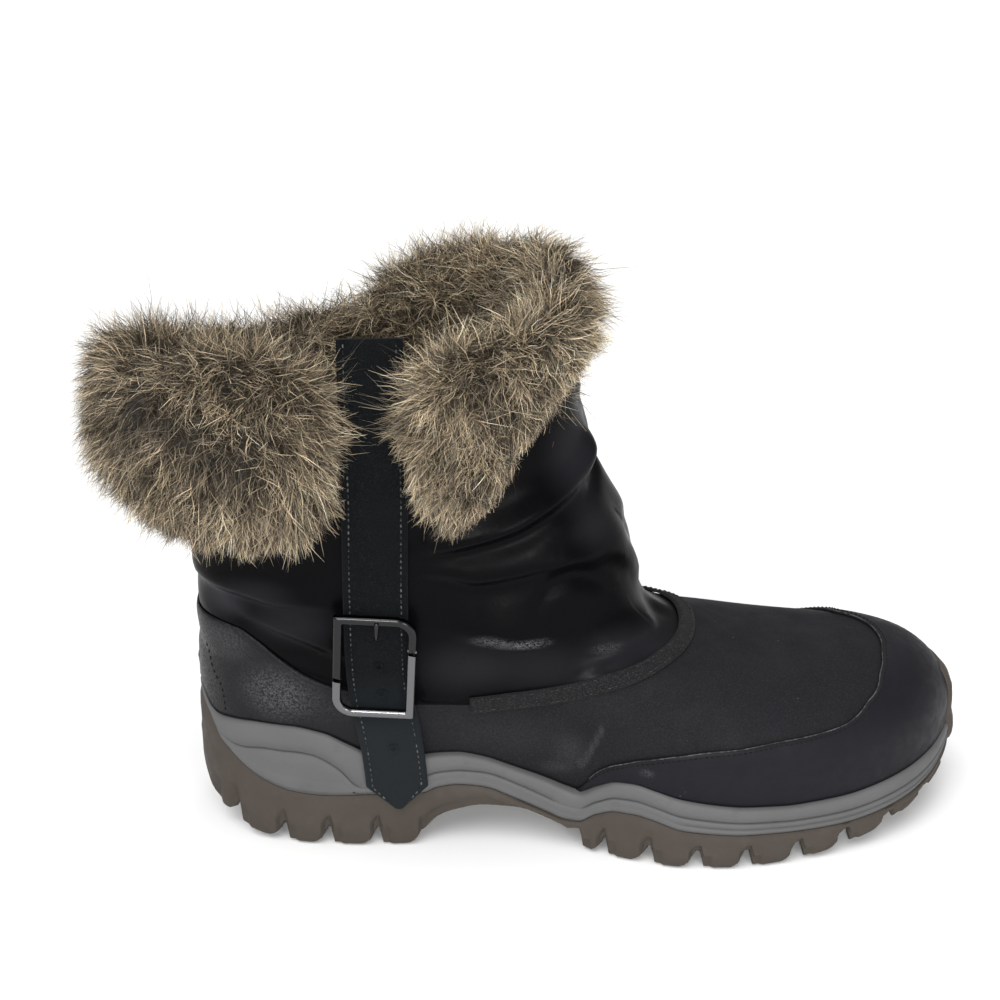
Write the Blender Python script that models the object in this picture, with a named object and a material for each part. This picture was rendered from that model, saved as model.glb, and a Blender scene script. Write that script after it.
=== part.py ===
"""Waterproof winter boot, right foot: hollow upper, cupped midsole, lugged outsole and fur cuffs.

Sizes are millimetres in the boot's own axes: x from the heel's back to the toe, y to the medial side, z up.
The pieces are moved together at the end so that the origin lies under the middle of the whole boot.
"""
import math

import bmesh
import bpy
import numpy as np
from mathutils import Vector
from mathutils.bvhtree import BVHTree

for old in list(bpy.data.objects):
    bpy.data.objects.remove(old, do_unlink=True)

MM = 0.001
SOLE_LENGTH = 290.0
WALL = 3.0
GAP = 0.4
OVERLAY = 1.2
OVERLAY_GAP = 0.55
FEATHER_INSET = 2.2
LEDGE = 6.6
DISH_INSET = 10.0
LUG_DEPTH = 6.5
LUG_DRAFT = 0.7
INSOLE_THICK = 4.0
STRAP_WIDTH = 23.0
STRAP_THICK = 2.0
BUCKLE_WIDTH = 30.0
BUCKLE_HEIGHT = 44.0
BUCKLE_BAR = 3.3
BUCKLE_THICK = 2.4
TRIM_WIDTH = 6.5

# plan of the sole: x, lateral edge, medial edge
SOLE_PLAN = (
    (0.0, 1.0, 1.0), (4.0, -14.0, 15.0), (12.0, -23.0, 23.5), (26.0, -30.0, 29.5), (45.0, -34.0, 32.5),
    (65.0, -35.5, 33.0), (90.0, -35.5, 29.5), (115.0, -36.5, 27.0), (140.0, -41.0, 30.5),
    (160.0, -48.5, 38.0), (180.0, -54.5, 44.0), (198.0, -55.5, 46.5), (215.0, -53.0, 47.0),
    (235.0, -48.0, 45.5), (252.0, -41.5, 41.8), (266.0, -33.0, 36.4), (277.0, -22.4, 30.0),
    (285.0, -10.0, 22.4), (290.0, 7.5, 7.5),
)
# side of the sole: x, top of the midsole, seam of midsole and outsole, floor of the lugs
SOLE_SIDE = (
    (0.3, 55.5, 53.0, 22.0), (2.0, 53.0, 50.2, 17.5), (4.5, 49.5, 46.6, 12.5), (8.0, 48.0, 40.5, 8.5),
    (14.0, 48.8, 33.0, 4.6), (24.0, 50.0, 26.0, 1.6), (35.0, 50.0, 22.2, 0.2), (48.0, 47.6, 21.2, 0.0),
    (56.0, 43.5, 21.6, 0.0), (64.0, 39.6, 22.0, 0.0), (76.0, 37.6, 22.0, 0.0), (84.0, 37.6, 22.4, 1.8),
    (89.0, 38.2, 24.6, 10.5), (97.0, 38.6, 25.8, 13.8), (106.0, 37.0, 25.0, 15.6), (119.0, 32.2, 19.8, 14.8),
    (130.0, 28.2, 15.2, 11.4), (137.0, 25.4, 12.6, 8.0), (142.0, 24.0, 12.4, 2.0), (148.0, 27.8, 16.6, 0.0),
    (156.0, 32.0, 19.8, 0.0), (162.0, 32.4, 19.8, 0.0), (170.0, 30.8, 18.4, 0.0), (179.0, 28.4, 15.8, 0.0),
    (190.0, 26.4, 14.6, 0.0), (206.0, 24.6, 13.6, 0.0), (222.0, 23.4, 12.8, 0.4), (240.0, 23.6, 12.4, 2.6),
    (257.0, 25.2, 13.6, 6.2), (270.0, 26.8, 15.4, 10.0), (279.0, 28.0, 18.0, 13.2), (285.0, 28.8, 20.4, 15.6),
    (289.7, 29.0, 22.0, 17.4),
)
# blocks of the tread: x of the start, x of the end
LUGS = (
    (4.2, 11.2), (14.6, 29.0), (32.6, 46.0), (49.6, 64.5), (68.0, 82.5), (143.0, 149.2), (152.4, 165.0),
    (169.0, 182.6), (187.0, 201.2), (205.6, 220.6), (225.4, 239.0), (243.6, 257.0), (261.6, 272.6),
    (276.4, 284.4),
)
# foot bed inside the midsole: x, height
FOOT_BED = (
    (0.0, 51.0), (12.0, 43.5), (24.0, 36.5), (48.0, 33.0), (84.0, 31.0), (100.0, 30.5), (119.0, 26.5),
    (139.0, 21.6), (157.0, 23.6), (177.0, 20.6), (205.0, 19.0), (240.0, 19.0), (270.0, 20.6), (290.0, 23.4),
)
INSOLE_STATIONS = (
    12.0, 14.0, 19.0, 28.0, 45.0, 65.0, 84.0, 92.0, 100.0, 108.0, 119.0, 129.0, 139.0, 147.0, 157.0, 167.0,
    177.0, 200.0, 222.0, 242.0, 258.0, 268.0, 274.0, 276.5,
)
# last of the foot: x, ridge height, ridge y, height of the widest line
FOOT = (
    (0.0, 66.0, 1.0, 62.0), (4.0, 82.0, 1.0, 62.0), (14.0, 93.0, 0.5, 62.0), (60.0, 96.0, 0.0, 60.0),
    (120.0, 93.0, -1.0, 54.0), (150.0, 86.0, -1.0, 49.0), (170.0, 79.6, 0.0, 46.0), (191.0, 74.6, 1.0, 44.0),
    (221.0, 69.2, 3.0, 41.0), (248.0, 66.6, 5.0, 39.5), (262.0, 64.2, 6.0, 39.0), (271.0, 61.4, 6.5, 38.5),
    (280.0, 55.8, 7.0, 38.0), (286.0, 48.8, 7.0, 37.5), (290.0, 37.5, 7.0, 37.0),
)
# shaft: height, back x, front x, lateral y, medial y
SHAFT = (
    (56.0, 7.0, 146.0, -32.0, 31.0), (80.0, 2.6, 161.0, -37.5, 34.0), (95.0, 1.6, 165.0, -40.5, 36.0),
    (120.0, 0.5, 159.5, -42.5, 38.0), (150.0, -4.0, 147.5, -42.5, 38.0), (175.0, -8.5, 141.0, -41.5, 37.0),
    (200.0, -12.0, 137.0, -40.0, 36.0), (245.0, -14.0, 133.0, -38.0, 34.0),
)
# loops of the upper up to the ankle: level, share of the plane, height at the heel, front x, front height
LOOPS = (
    (0, 0.00, 58.0, 286.0, 50.0), (1, 0.33, 58.0, 286.0, 50.0), (2, 0.62, 58.0, 286.0, 50.0),
    (3, 0.86, 58.5, 285.0, 50.5), (4, 1.00, 60.0, 279.0, 56.4), (5, 1.00, 61.5, 270.0, 61.6),
    (6, 1.00, 63.0, 257.0, 65.2), (7, 1.00, 64.5, 240.0, 67.4), (8, 1.00, 66.5, 222.0, 69.2),
    (9, 1.00, 69.0, 205.0, 72.2), (10, 1.00, 72.0, 190.0, 76.4), (11, 1.00, 75.5, 179.0, 83.0),
    (12, 1.00, 79.0, 171.0, 93.0), (13, 1.00, 84.0, 165.0, 106.0), (14, 1.00, 90.0, 160.0, 120.0),
)
ANKLE_LEVEL = 14
COLLAR_LEVEL = 23
# collar edge: turn from the heel's back over the lateral side, height
COLLAR = (
    (0.0, 185.0), (40.0, 187.0), (70.0, 187.0), (80.0, 184.0), (83.5, 153.0), (90.0, 152.0), (97.0, 152.0),
    (100.0, 163.0), (104.0, 179.0), (111.0, 187.0), (132.0, 193.0), (155.0, 198.0), (180.0, 203.0),
    (205.0, 208.0), (230.0, 206.0), (250.0, 201.0), (262.0, 194.0), (271.0, 186.0), (281.0, 178.0),
    (298.0, 172.0), (318.0, 173.0), (340.0, 180.0), (360.0, 185.0),
)
# top edge of the toe guard: turn, level
GUARD_EDGE = (
    (89.0, 0.35), (91.5, 0.7), (95.0, 1.1), (98.0, 1.65), (102.0, 2.45), (108.0, 3.0), (116.0, 3.25),
    (122.0, 3.32), (128.0, 3.45), (132.0, 3.65), (138.0, 4.1), (149.0, 5.0), (164.0, 5.6), (182.0, 5.8),
    (195.0, 5.9), (208.0, 5.8), (220.0, 5.0), (232.0, 4.0), (244.0, 3.4), (254.0, 3.0), (262.0, 2.2),
    (268.0, 1.2), (272.0, 0.35),
)
# top edge of the heel counter: turn either way from the heel's back, level
COUNTER_EDGE = ((0.0, 14.0), (30.0, 13.9), (47.0, 13.5), (53.0, 12.6), (57.0, 11.0), (60.0, 8.6), (63.0, 6.2))
# middle of the throat trim: turn, level
TRIM_LINE = (
    (74.0, 4.3), (87.0, 5.6), (100.0, 7.1), (113.0, 8.5), (125.0, 9.3), (136.0, 9.75), (150.0, 9.95),
    (165.0, 10.0), (180.0, 10.0), (195.0, 10.0), (210.0, 9.95), (224.0, 9.75), (235.0, 9.3), (247.0, 8.5),
    (260.0, 7.1), (273.0, 5.6), (286.0, 4.3),
)
# rear cuff: turn, lower edge, thickness outside, height over the collar, depth of the inner fall
REAR_CUFF = (
    (-88.5, 150.0, 13.0, 7.0, 18.0), (-66.0, 138.0, 17.0, 8.0, 18.0), (-40.0, 135.0, 20.0, 9.0, 20.0),
    (-15.0, 134.0, 24.0, 9.0, 22.0), (0.0, 134.0, 25.0, 9.0, 20.0), (25.0, 132.0, 23.0, 9.0, 20.0),
    (50.0, 132.0, 21.0, 9.0, 20.0), (66.0, 134.0, 20.0, 9.0, 18.0), (75.0, 139.0, 17.0, 8.0, 16.0),
    (79.3, 146.0, 13.0, 6.0, 12.0),
)
# front cuff: turn, lower edge, thickness outside, height over the collar, depth of the inner fall
FRONT_CUFF = (
    (101.0, 149.0, 11.0, 5.0, 10.0), (103.5, 138.0, 15.0, 8.0, 14.0), (107.0, 140.0, 16.0, 9.0, 16.0),
    (113.0, 150.0, 16.0, 9.0, 18.0), (121.0, 165.0, 14.0, 9.0, 20.0), (133.0, 179.0, 11.0, 9.0, 22.0),
    (152.0, 187.0, 9.0, 9.0, 26.0), (180.0, 191.0, 8.0, 9.0, 30.0), (215.0, 192.0, 11.0, 10.0, 32.0),
    (245.0, 184.0, 12.0, 10.0, 32.0), (262.0, 174.0, 13.0, 9.0, 30.0), (269.0, 168.0, 11.0, 8.0, 26.0),
)
CUFF_STEP = 8.2
CUFF_INSIDE = 8.0
LOCK_WIDTH = 14.0
LOCK_ROW = 19.0
LOCK_DEPTH = 4.2
# strap: height, middle x, lean inward from the shaft
STRAP = (
    (17.5, 75.0, 0.0), (27.0, 74.5, 0.0), (40.0, 73.4, 0.0), (52.0, 71.8, 0.0), (64.0, 69.6, 0.0),
    (76.0, 68.6, 0.0), (90.0, 68.4, 0.0), (104.0, 68.5, 0.0), (118.0, 68.7, 0.0),
    (134.0, 69.0, 0.0), (148.0, 69.3, 0.0),
    (162.0, 69.3, 0.0), (176.0, 69.0, 4.0), (188.0, 68.6, 10.0), (199.0, 68.4, 17.0),
)


def smooth(xs, ys):
    """Smooth curve through the rows of a table, without overshoot."""
    xs = np.asarray(xs, float)
    ys = np.asarray(ys, float)
    step = np.diff(xs)
    slope = np.diff(ys) / step
    same = slope[:-1] * slope[1:] > 0
    w1 = 2 * step[1:] + step[:-1]
    w2 = step[1:] + 2 * step[:-1]
    s1 = np.where(same, slope[:-1], 1.0)
    s2 = np.where(same, slope[1:], 1.0)
    middle = np.where(same, (w1 + w2) / (w1 / s1 + w2 / s2), 0.0)
    tangent = np.concatenate([[slope[0]], middle, [slope[-1]]])

    def at(q):
        q = np.clip(q, xs[0], xs[-1])
        i = np.clip(np.searchsorted(xs, q) - 1, 0, len(step) - 1)
        t = (q - xs[i]) / step[i]
        a = (1 + 2 * t) * (1 - t) ** 2 * ys[i] + t * (1 - t) ** 2 * step[i] * tangent[i]
        return a + t * t * (3 - 2 * t) * ys[i + 1] + t * t * (t - 1) * step[i] * tangent[i + 1]

    return at


def column(table, k):
    return smooth([row[0] for row in table], [row[k] for row in table])


def bow(x):
    """Angle that spreads the length so that the rounded ends stay round."""
    return np.arccos(np.clip(1 - 2 * np.asarray(x, float) / SOLE_LENGTH, -1, 1))


plan_x = bow([row[0] for row in SOLE_PLAN])
plan_lateral = smooth(plan_x, [row[1] for row in SOLE_PLAN])
plan_medial = smooth(plan_x, [row[2] for row in SOLE_PLAN])
midsole_top = column(SOLE_SIDE, 1)
sole_seam = column(SOLE_SIDE, 2)
lug_floor = column(SOLE_SIDE, 3)
foot_bed = column(FOOT_BED, 1)
foot_x = bow([row[0] for row in FOOT])
ridge_height = smooth(foot_x, [row[1] for row in FOOT])
ridge_y = smooth(foot_x, [row[2] for row in FOOT])
widest_height = smooth(foot_x, [row[3] for row in FOOT])
shaft_back, shaft_front, shaft_lateral, shaft_medial = (column(SHAFT, k) for k in (1, 2, 3, 4))
loop_share, loop_heel, loop_front, loop_rise = (column(LOOPS, k) for k in (1, 2, 3, 4))
collar_height = column(COLLAR, 1)


def foot_form(x, y, z):
    """Below zero inside the last of the foot."""
    b = bow((x - 1.2) * SOLE_LENGTH / (288.6 - 1.2))
    ry = ridge_y(b)
    edge = np.where(y < ry, ry - plan_lateral(b), plan_medial(b) - ry)
    half = edge - FEATHER_INSET + 0.6
    wide = widest_height(b)
    across = np.abs(y - ry) / np.maximum(half, 0.4)
    up = (z - wide) / np.maximum(ridge_height(b) - wide, 0.4)
    rise = np.where(z > wide, up, (wide - z) / 75.0)
    r = (across ** 2.4 + np.abs(rise) ** 2.1) ** (1 / 2.2)
    return (r - 1) * 36.0 + 2.0 * np.maximum(0.0, np.maximum(1.2 - x, x - 288.6))


def shaft_form(x, y, z):
    """Below zero inside the shaft."""
    mid_x = (shaft_back(z) + shaft_front(z)) / 2
    half_x = (shaft_front(z) - shaft_back(z)) / 2
    mid_y = (shaft_lateral(z) + shaft_medial(z)) / 2
    half_y = (shaft_medial(z) - shaft_lateral(z)) / 2
    r = (np.abs((x - mid_x) / half_x) ** 2.35 + np.abs((y - mid_y) / half_y) ** 2.35) ** (1 / 2.35)
    return (r - 1) * 40.0


def last_form(x, y, z):
    """Foot and shaft run together, with a soft hollow at the instep."""
    a = foot_form(x, y, z)
    b = shaft_form(x, y, z)
    t = np.clip((x - 80.0) / 60.0, 0, 1)
    k = 3.0 + 15.0 * t * t * (3 - 2 * t)
    h = np.clip(0.5 + 0.5 * (b - a) / k, 0, 1)
    return b * (1 - h) + a * h - k * h * (1 - h)


def spine_y(x):
    t = np.clip((x - 130.0) / 130.0, 0, 1)
    return -2.0 + 7.0 * t * t * (3 - 2 * t)


def loop_height(turn, level, x):
    """Height of a loop of the upper over x; above the ankle the loops lead to the collar edge."""
    low = np.minimum(level, ANKLE_LEVEL)
    plane = loop_heel(low) + (loop_rise(low) - loop_heel(low)) * x / loop_front(low)
    feather = midsole_top(np.clip(x, 0.3, 289.7)) + GAP
    z = feather + (plane - feather) * loop_share(low)
    up = np.clip((level - ANKLE_LEVEL) / (COLLAR_LEVEL - ANKLE_LEVEL), 0, 1)
    return z + (collar_height(np.mod(turn, 360.0)) - z) * up


def upper_point(turn, level):
    """Point of the upper's outside at a turn (degrees round it) and a level (loops up from the sole)."""
    turn, level = np.broadcast_arrays(np.asarray(turn, float), np.asarray(level, float))
    turn = turn.ravel()
    level = level.ravel()
    up = np.clip((level - ANKLE_LEVEL) / (COLLAR_LEVEL - ANKLE_LEVEL), 0, 1)
    back = 1.0 - 12.0 * up
    front = np.where(level <= ANKLE_LEVEL, loop_front(np.minimum(level, ANKLE_LEVEL)), 157.0 - 17.0 * up)
    angle = np.radians(turn)
    ox = (back + front) / 2 - 0.36 * (front - back) * np.cos(angle)
    oy = spine_y(ox)
    dx = -np.cos(angle)
    dy = -np.sin(angle)

    def form(t):
        x = ox[:, None] + t * dx[:, None]
        y = oy[:, None] + t * dy[:, None]
        return last_form(x, y, loop_height(turn[:, None], level[:, None], x))

    reach = np.linspace(0.0, 120.0, 121)[None, :]
    outside = form(reach) > 0
    first = np.argmax(outside, axis=1)
    lo = reach[0, np.maximum(first - 1, 0)][:, None]
    hi = reach[0, first][:, None]
    for _ in range(30):
        mid = (lo + hi) / 2
        far = form(mid) > 0
        hi = np.where(far, mid, hi)
        lo = np.where(far, lo, mid)
    x = ox + lo[:, 0] * dx
    y = oy + lo[:, 0] * dy
    return np.stack([x, y, loop_height(turn, level, x)], 1)


def outward(p):
    """Direction out of the last at the points p."""
    step = 0.6
    x, y, z = p[:, 0], p[:, 1], p[:, 2]
    g = np.stack([
        last_form(x + step, y, z) - last_form(x - step, y, z),
        last_form(x, y + step, z) - last_form(x, y - step, z),
        last_form(x, y, z + step) - last_form(x, y, z - step),
    ], 1)
    return g / np.linalg.norm(g, axis=1)[:, None]


def settle(p):
    """Moves points along the outward direction onto the last."""
    for _ in range(8):
        n = outward(p)
        d = last_form(p[:, 0], p[:, 1], p[:, 2])
        q = p + n * 0.5
        rate = (last_form(q[:, 0], q[:, 1], q[:, 2]) - d) / 0.5
        p = p - n * (d / np.maximum(rate, 0.2))[:, None]
    return p


PIECES = {}


def add(name, verts, faces, colour, rough, metal=0.0):
    tris = []
    for f in faces:
        tris.extend([(f[0], f[k], f[k + 1]) for k in range(1, len(f) - 1)])
    PIECES[name] = (np.asarray(verts, float), tris, colour, rough, metal)


def strip(a, b, closed=False):
    """Faces between two rows of vertex numbers."""
    n = len(a)
    return [(a[i], a[(i + 1) % n], b[(i + 1) % n], b[i]) for i in range(n if closed else n - 1)]


def ring_loft(name, rings, colour, rough, metal=0.0, cap=None):
    """Solid through closed rings of equal size, capped at both ends, by a hub or by the cap's own faces."""
    rings = np.asarray(rings, float)
    count, size = rings.shape[:2]
    ids = np.arange(count * size).reshape(count, size)
    faces = []
    for i in range(count - 1):
        faces += strip(list(ids[i]), list(ids[i + 1]), closed=True)
    verts = list(rings.reshape(-1, 3))
    for end in (0, count - 1):
        if cap is not None:
            faces += [tuple(int(ids[end, k]) for k in face) for face in cap]
            continue
        verts.append(rings[end].mean(0))
        hub = len(verts) - 1
        row = list(ids[end])
        faces += [(row[k], row[(k + 1) % size], hub) for k in range(size)]
    add(name, verts, faces, colour, rough, metal)


def ladder(size):
    """Faces that close a ring made of two mirrored halves, rung by rung."""
    return [(k, k + 1, size - 2 - k, size - 1 - k) for k in range(size // 2 - 1)]


def sheet_solid(name, low, high, colour, rough):
    """Solid between two matching grids of points, closed at its edges."""
    rows, cols = low.shape[:2]
    ids = np.arange(rows * cols).reshape(rows, cols)
    top = ids + rows * cols
    faces = []
    for i in range(rows - 1):
        faces += strip(list(ids[i]), list(ids[i + 1]))
        faces += strip(list(top[i]), list(top[i + 1]))
    for a, b in ((ids[0], top[0]), (ids[-1], top[-1]), (ids[:, 0], top[:, 0]), (ids[:, -1], top[:, -1])):
        faces += strip(list(a), list(b))
    add(name, np.concatenate([low.reshape(-1, 3), high.reshape(-1, 3)]), faces, colour, rough)


def plan_edge(x, side):
    """Edge of the sole at x with its outward direction in plan; side -1 lateral, 1 medial."""
    edge = plan_lateral if side < 0 else plan_medial
    b = bow(x)
    d = 0.01
    dx = SOLE_LENGTH / 2 * (np.cos(np.maximum(b - d, 0)) - np.cos(np.minimum(b + d, math.pi)))
    dy = edge(np.minimum(b + d, math.pi)) - edge(np.maximum(b - d, 0))
    n = np.stack([dy, -dx], -1) * (1 if side < 0 else -1)
    n = n / np.linalg.norm(n, axis=-1)[..., None]
    return np.stack([x, edge(b)], -1), n


def sole_point(x, side, outset, z):
    """Point at the sole's edge moved outward in plan and set at a height."""
    p, n = plan_edge(np.asarray(float(x)), side)
    return (p[0] + n[0] * outset, p[1] + n[1] * outset, float(z))


def build_midsole():
    rings = []
    for x, top, seam, _floor in SOLE_SIDE:
        tall = top - seam
        rib = min(1.0, tall / 9.0)
        profile = (
            (0.9 * rib, top - 0.22 * tall), (0.9 * rib, top - 0.36 * tall), (-0.3 * rib, top - 0.42 * tall),
            (0.9 * rib, top - 0.5 * tall), (0.8 * rib, seam + 0.15 * tall), (0.0, seam),
        )
        half = []
        for side in (-1, 1):
            dish = sole_point(x, side, -DISH_INSET, 0.0)
            ledge = sole_point(x, side, -LEDGE, 0.0)
            rim = float(midsole_top(ledge[0]))
            bed = min(float(foot_bed(dish[0])), float(midsole_top(dish[0])) - 1.0)
            half.append([(dish[0], dish[1], bed), (ledge[0], ledge[1], rim), sole_point(x, side, 0.0, top)])
            half[-1] += [sole_point(x, side, o, z) for o, z in profile]
        rings.append(half[0] + half[1][::-1])
    ring_loft("midsole", rings, (0.2, 0.2, 0.21), 0.7, cap=ladder(len(rings[0])))


def build_outsole():
    stations = []
    for start, end in LUGS:
        stations += [(start - LUG_DRAFT, 0), (start + LUG_DRAFT, 1)]
        stations += [(end - LUG_DRAFT, 1), (end + LUG_DRAFT, 0)]
    for row in SOLE_SIDE:
        x = row[0]
        inside = any(start + 1.0 < x < end - 1.0 for start, end in LUGS)
        if inside and (x < 30.0 or 140.0 < x < 175.0):
            stations.append((x, 1))
        if 86.0 < x < 141.0 or x < 3.0 or x > 286.0:
            stations.append((x, 0))
    stations.sort()
    rings = []
    for x, lug in stations:
        floor = float(lug_floor(x))
        seam = float(np.interp(x, [r[0] for r in SOLE_SIDE], [r[2] for r in SOLE_SIDE])) - GAP
        recess = min(floor + LUG_DEPTH, seam - 2.5)
        arch = 86.0 < x < 141.0
        low = floor if lug or arch else recess
        width = float(plan_medial(bow(x)) - plan_lateral(bow(x)))
        deep = min(0.30 * width, 17.0)
        rim = 0.8 if lug else -0.6
        half = []
        for side in (-1, 1):
            p, n = plan_edge(np.asarray(float(x)), side)
            mid = float(plan_medial(bow(x)) + plan_lateral(bow(x))) / 2
            inner = p[1] + (mid - p[1]) * min(1.0, 2 * deep / max(width, 1.0))
            groove = p[1] + (mid - p[1]) * min(1.0, 2 * (deep + 3.0) / max(width, 1.0))
            core = groove + (mid - groove) * 0.22
            floor_in = low if not arch else floor
            half.append([
                (p[0], p[1], seam),
                (p[0] + n[0] * 1.0, p[1] + n[1] * 1.0, seam - 0.35 * (seam - low)),
                (p[0] + n[0] * rim, p[1] + n[1] * rim, low + 0.8),
                (p[0] - n[0] * 0.6, p[1] - n[1] * 0.6, low),
                (x, inner, floor_in),
                (x, inner + (groove - inner) * 0.3, recess if not arch else floor + 0.6),
                (x, groove, recess if not arch else floor + 0.6),
                (x, core, floor_in),
            ])
        rings.append(half[0] + half[1][::-1])
    ring_loft("outsole", rings, (0.11, 0.085, 0.065), 0.85, cap=ladder(len(rings[0])))


def build_insole():
    rings = []
    for x in INSOLE_STATIONS:
        bed = float(foot_bed(x)) + GAP + 0.2
        edge = [float(plan_edge(np.asarray(x), s)[0][1]) for s in (-1, 1)]
        inset = DISH_INSET + 1.2
        mid = sum(edge) / 2
        half = []
        for side in (-1, 1):
            reach = max(inset_half(x, side, inset), 1.0)
            y = mid + side * reach
            top = bed + INSOLE_THICK
            half.append([(x, y, bed), (x, y, top - 0.8), (x, y - side * 0.8, top)])
        rings.append(half[0] + half[1][::-1])
    ring_loft("insole", rings, (0.16, 0.14, 0.12), 0.9)


def inset_half(x, side, inset):
    """Half width of the sole's plan at x after moving its edge inward."""
    xs = np.linspace(0.2, SOLE_LENGTH - 0.2, 400)
    p, n = plan_edge(xs, side)
    q = p - n * inset
    order = np.argsort(q[:, 0])
    y = np.interp(x, q[order, 0], q[order, 1])
    mid = float(plan_medial(bow(x)) + plan_lateral(bow(x))) / 2
    return side * (y - mid)


def station_turn(x, side):
    """Turn whose line out of the spine meets the upper's foot at a station of the sole's side."""
    p, n = plan_edge(np.asarray(float(x)), side)
    goal = p - n * (FEATHER_INSET + WALL / 2)
    turn = np.linspace(0.5, 179.5, 1791) if side < 0 else np.linspace(180.5, 359.5, 1791)
    angle = np.radians(turn)
    front = float(loop_front(0))
    ox = (1.0 + front) / 2 - 0.36 * (front - 1.0) * np.cos(angle)
    oy = spine_y(ox)
    aside = (goal[0] - ox) * np.sin(angle) - (goal[1] - oy) * np.cos(angle)
    ahead = -(goal[0] - ox) * np.cos(angle) - (goal[1] - oy) * np.sin(angle)
    return float(turn[np.argmin(np.abs(aside) + 1000.0 * (ahead < 0))])


TURNS = np.array(sorted(station_turn(row[0], side) for row in SOLE_SIDE for side in (-1, 1)))
OUTER_LEVELS = list(range(0, ANKLE_LEVEL + 1)) + [15.5, 17.0, 18.5, 20.0, 21.5, 23.0]
INNER_LEVELS = [0, 3, 5, 7, 9, 11, 14, 18.5, 23.0]


def ledge_height(points):
    """Height of the midsole's top under each point."""
    bed = tree("midsole")
    hits = [bed.ray_cast(Vector((p[0], p[1], 90.0)), Vector((0.0, 0.0, -1.0)))[0] for p in points]
    return np.array([0.0 if h is None else h.z for h in hits])


def tree(name):
    return BVHTree.FromPolygons([tuple(v) for v in PIECES[name][0]], [tuple(f) for f in PIECES[name][1]])


def build_upper():
    outer = np.array([upper_point(TURNS, level) for level in OUTER_LEVELS])
    inner = []
    for level in INNER_LEVELS:
        p = upper_point(TURNS, level)
        n = outward(p)
        if level in (0, COLLAR_LEVEL):
            n[:, 2] = 0.0
            n = n / np.linalg.norm(n, axis=1)[:, None]
        inner.append(p - n * WALL)
    inner = np.array(inner)
    foot = np.maximum(ledge_height(outer[0]), ledge_height(inner[0])) + GAP + 0.2
    outer[0, :, 2] = foot
    inner[0, :, 2] = foot
    n = len(TURNS)
    out_ids = np.arange(outer.shape[0] * n).reshape(-1, n)
    in_ids = np.arange(inner.shape[0] * n).reshape(-1, n) + out_ids.size
    faces = []
    for ids in (out_ids, in_ids):
        for i in range(len(ids) - 1):
            faces += strip(list(ids[i]), list(ids[i + 1]), closed=True)
    faces += strip(list(out_ids[0]), list(in_ids[0]), closed=True)
    faces += strip(list(out_ids[-1]), list(in_ids[-1]), closed=True)
    verts = np.concatenate([outer.reshape(-1, 3), inner.reshape(-1, 3)])
    add("upper", verts, faces, (0.012, 0.012, 0.014), 0.5)
    return outer


GUARD_LEVELS = (0, 1, 2, 3, 4, 5)
COUNTER_LEVELS = (0, 3, 5, 7, 9, 11, 13)


def overlay(name, first, last, edge, rows, colour, rough):
    """Panel over the upper from the sole to an edge line given as a level for each turn."""
    turns = [t + k for k in (-360.0, 0.0) for t in TURNS if first <= t + k <= last]
    low = []
    high = []
    for turn in turns:
        stop = float(edge(turn))
        levels = [v for v in rows if v < stop - 0.3] + [stop]
        p = upper_point(turn, levels)
        n = outward(p)
        n[0, 2] = 0.0
        n[0] = n[0] / np.linalg.norm(n[0])
        near = p + n * OVERLAY_GAP
        far = p + n * (OVERLAY_GAP + OVERLAY)
        foot = float(ledge_height(np.stack([p[0], near[0], far[0]])).max()) + GAP + 0.2
        foot += 1.7 * max(0.0, 1.0 - far[0, 0] / 9.0) + 0.7 * max(0.0, min(1.0, (far[0, 0] - 282.0) / 6.0))
        near[0, 2] = foot
        far[0, 2] = foot
        low.append(near)
        high.append(far)
    verts = []
    ids = [[], []]
    for k, side in enumerate((low, high)):
        for line in side:
            ids[k].append(list(range(len(verts), len(verts) + len(line))))
            verts.extend(line)
    faces = []
    for side in ids:
        for a, b in zip(side[:-1], side[1:]):
            end_a = len(a) - 1
            end_b = len(b) - 1
            for r in range(max(end_a, end_b)):
                ring = [a[min(r, end_a)], b[min(r, end_b)], b[min(r + 1, end_b)], a[min(r + 1, end_a)]]
                ring = [v for i, v in enumerate(ring) if v != ring[i - 1]]
                if len(ring) > 2:
                    faces.append(tuple(ring))
    for pick in (0, -1):
        faces += strip([line[pick] for line in ids[0]], [line[pick] for line in ids[1]])
        faces += strip(ids[0][pick], ids[1][pick])
    add(name, verts, faces, colour, rough)


def build_trim():
    turns = np.linspace(74.0, 286.0, 31)
    mid = upper_point(turns, column(TRIM_LINE, 1)(turns))
    run = np.gradient(mid, axis=0)
    side = np.cross(run, outward(mid))
    side = side / np.linalg.norm(side, axis=1)[:, None]
    skin = tree("upper")
    low = []
    high = []
    for s in (-1.0, 0.0, 1.0):
        p = settle(mid + side * s * TRIM_WIDTH / 2)
        n = outward(p)
        hit = np.array([skin.ray_cast(Vector(q + 8.0 * d), Vector(-d))[0] for q, d in zip(p, n)])
        low.append(hit + n * (OVERLAY_GAP + 0.25))
        high.append(hit + n * (OVERLAY_GAP + 0.25 + OVERLAY))
    sheet_solid("throat_trim", np.array(low), np.array(high), (0.012, 0.013, 0.012), 0.95)


def lock(run, drop):
    """Depth of a fur lock: staggered rows of tufts that end in points."""
    row = drop / LOCK_ROW
    step = np.floor(row)
    across = run / LOCK_WIDTH + 0.5 * np.mod(step, 2) + 0.17 * np.sin(step * 2.3 + run / 31.0)
    tuft = np.abs(np.cos(math.pi * across)) ** 0.7
    return LOCK_DEPTH * (0.35 + 0.65 * tuft) * (0.45 + 0.55 * (row - step))


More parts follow.
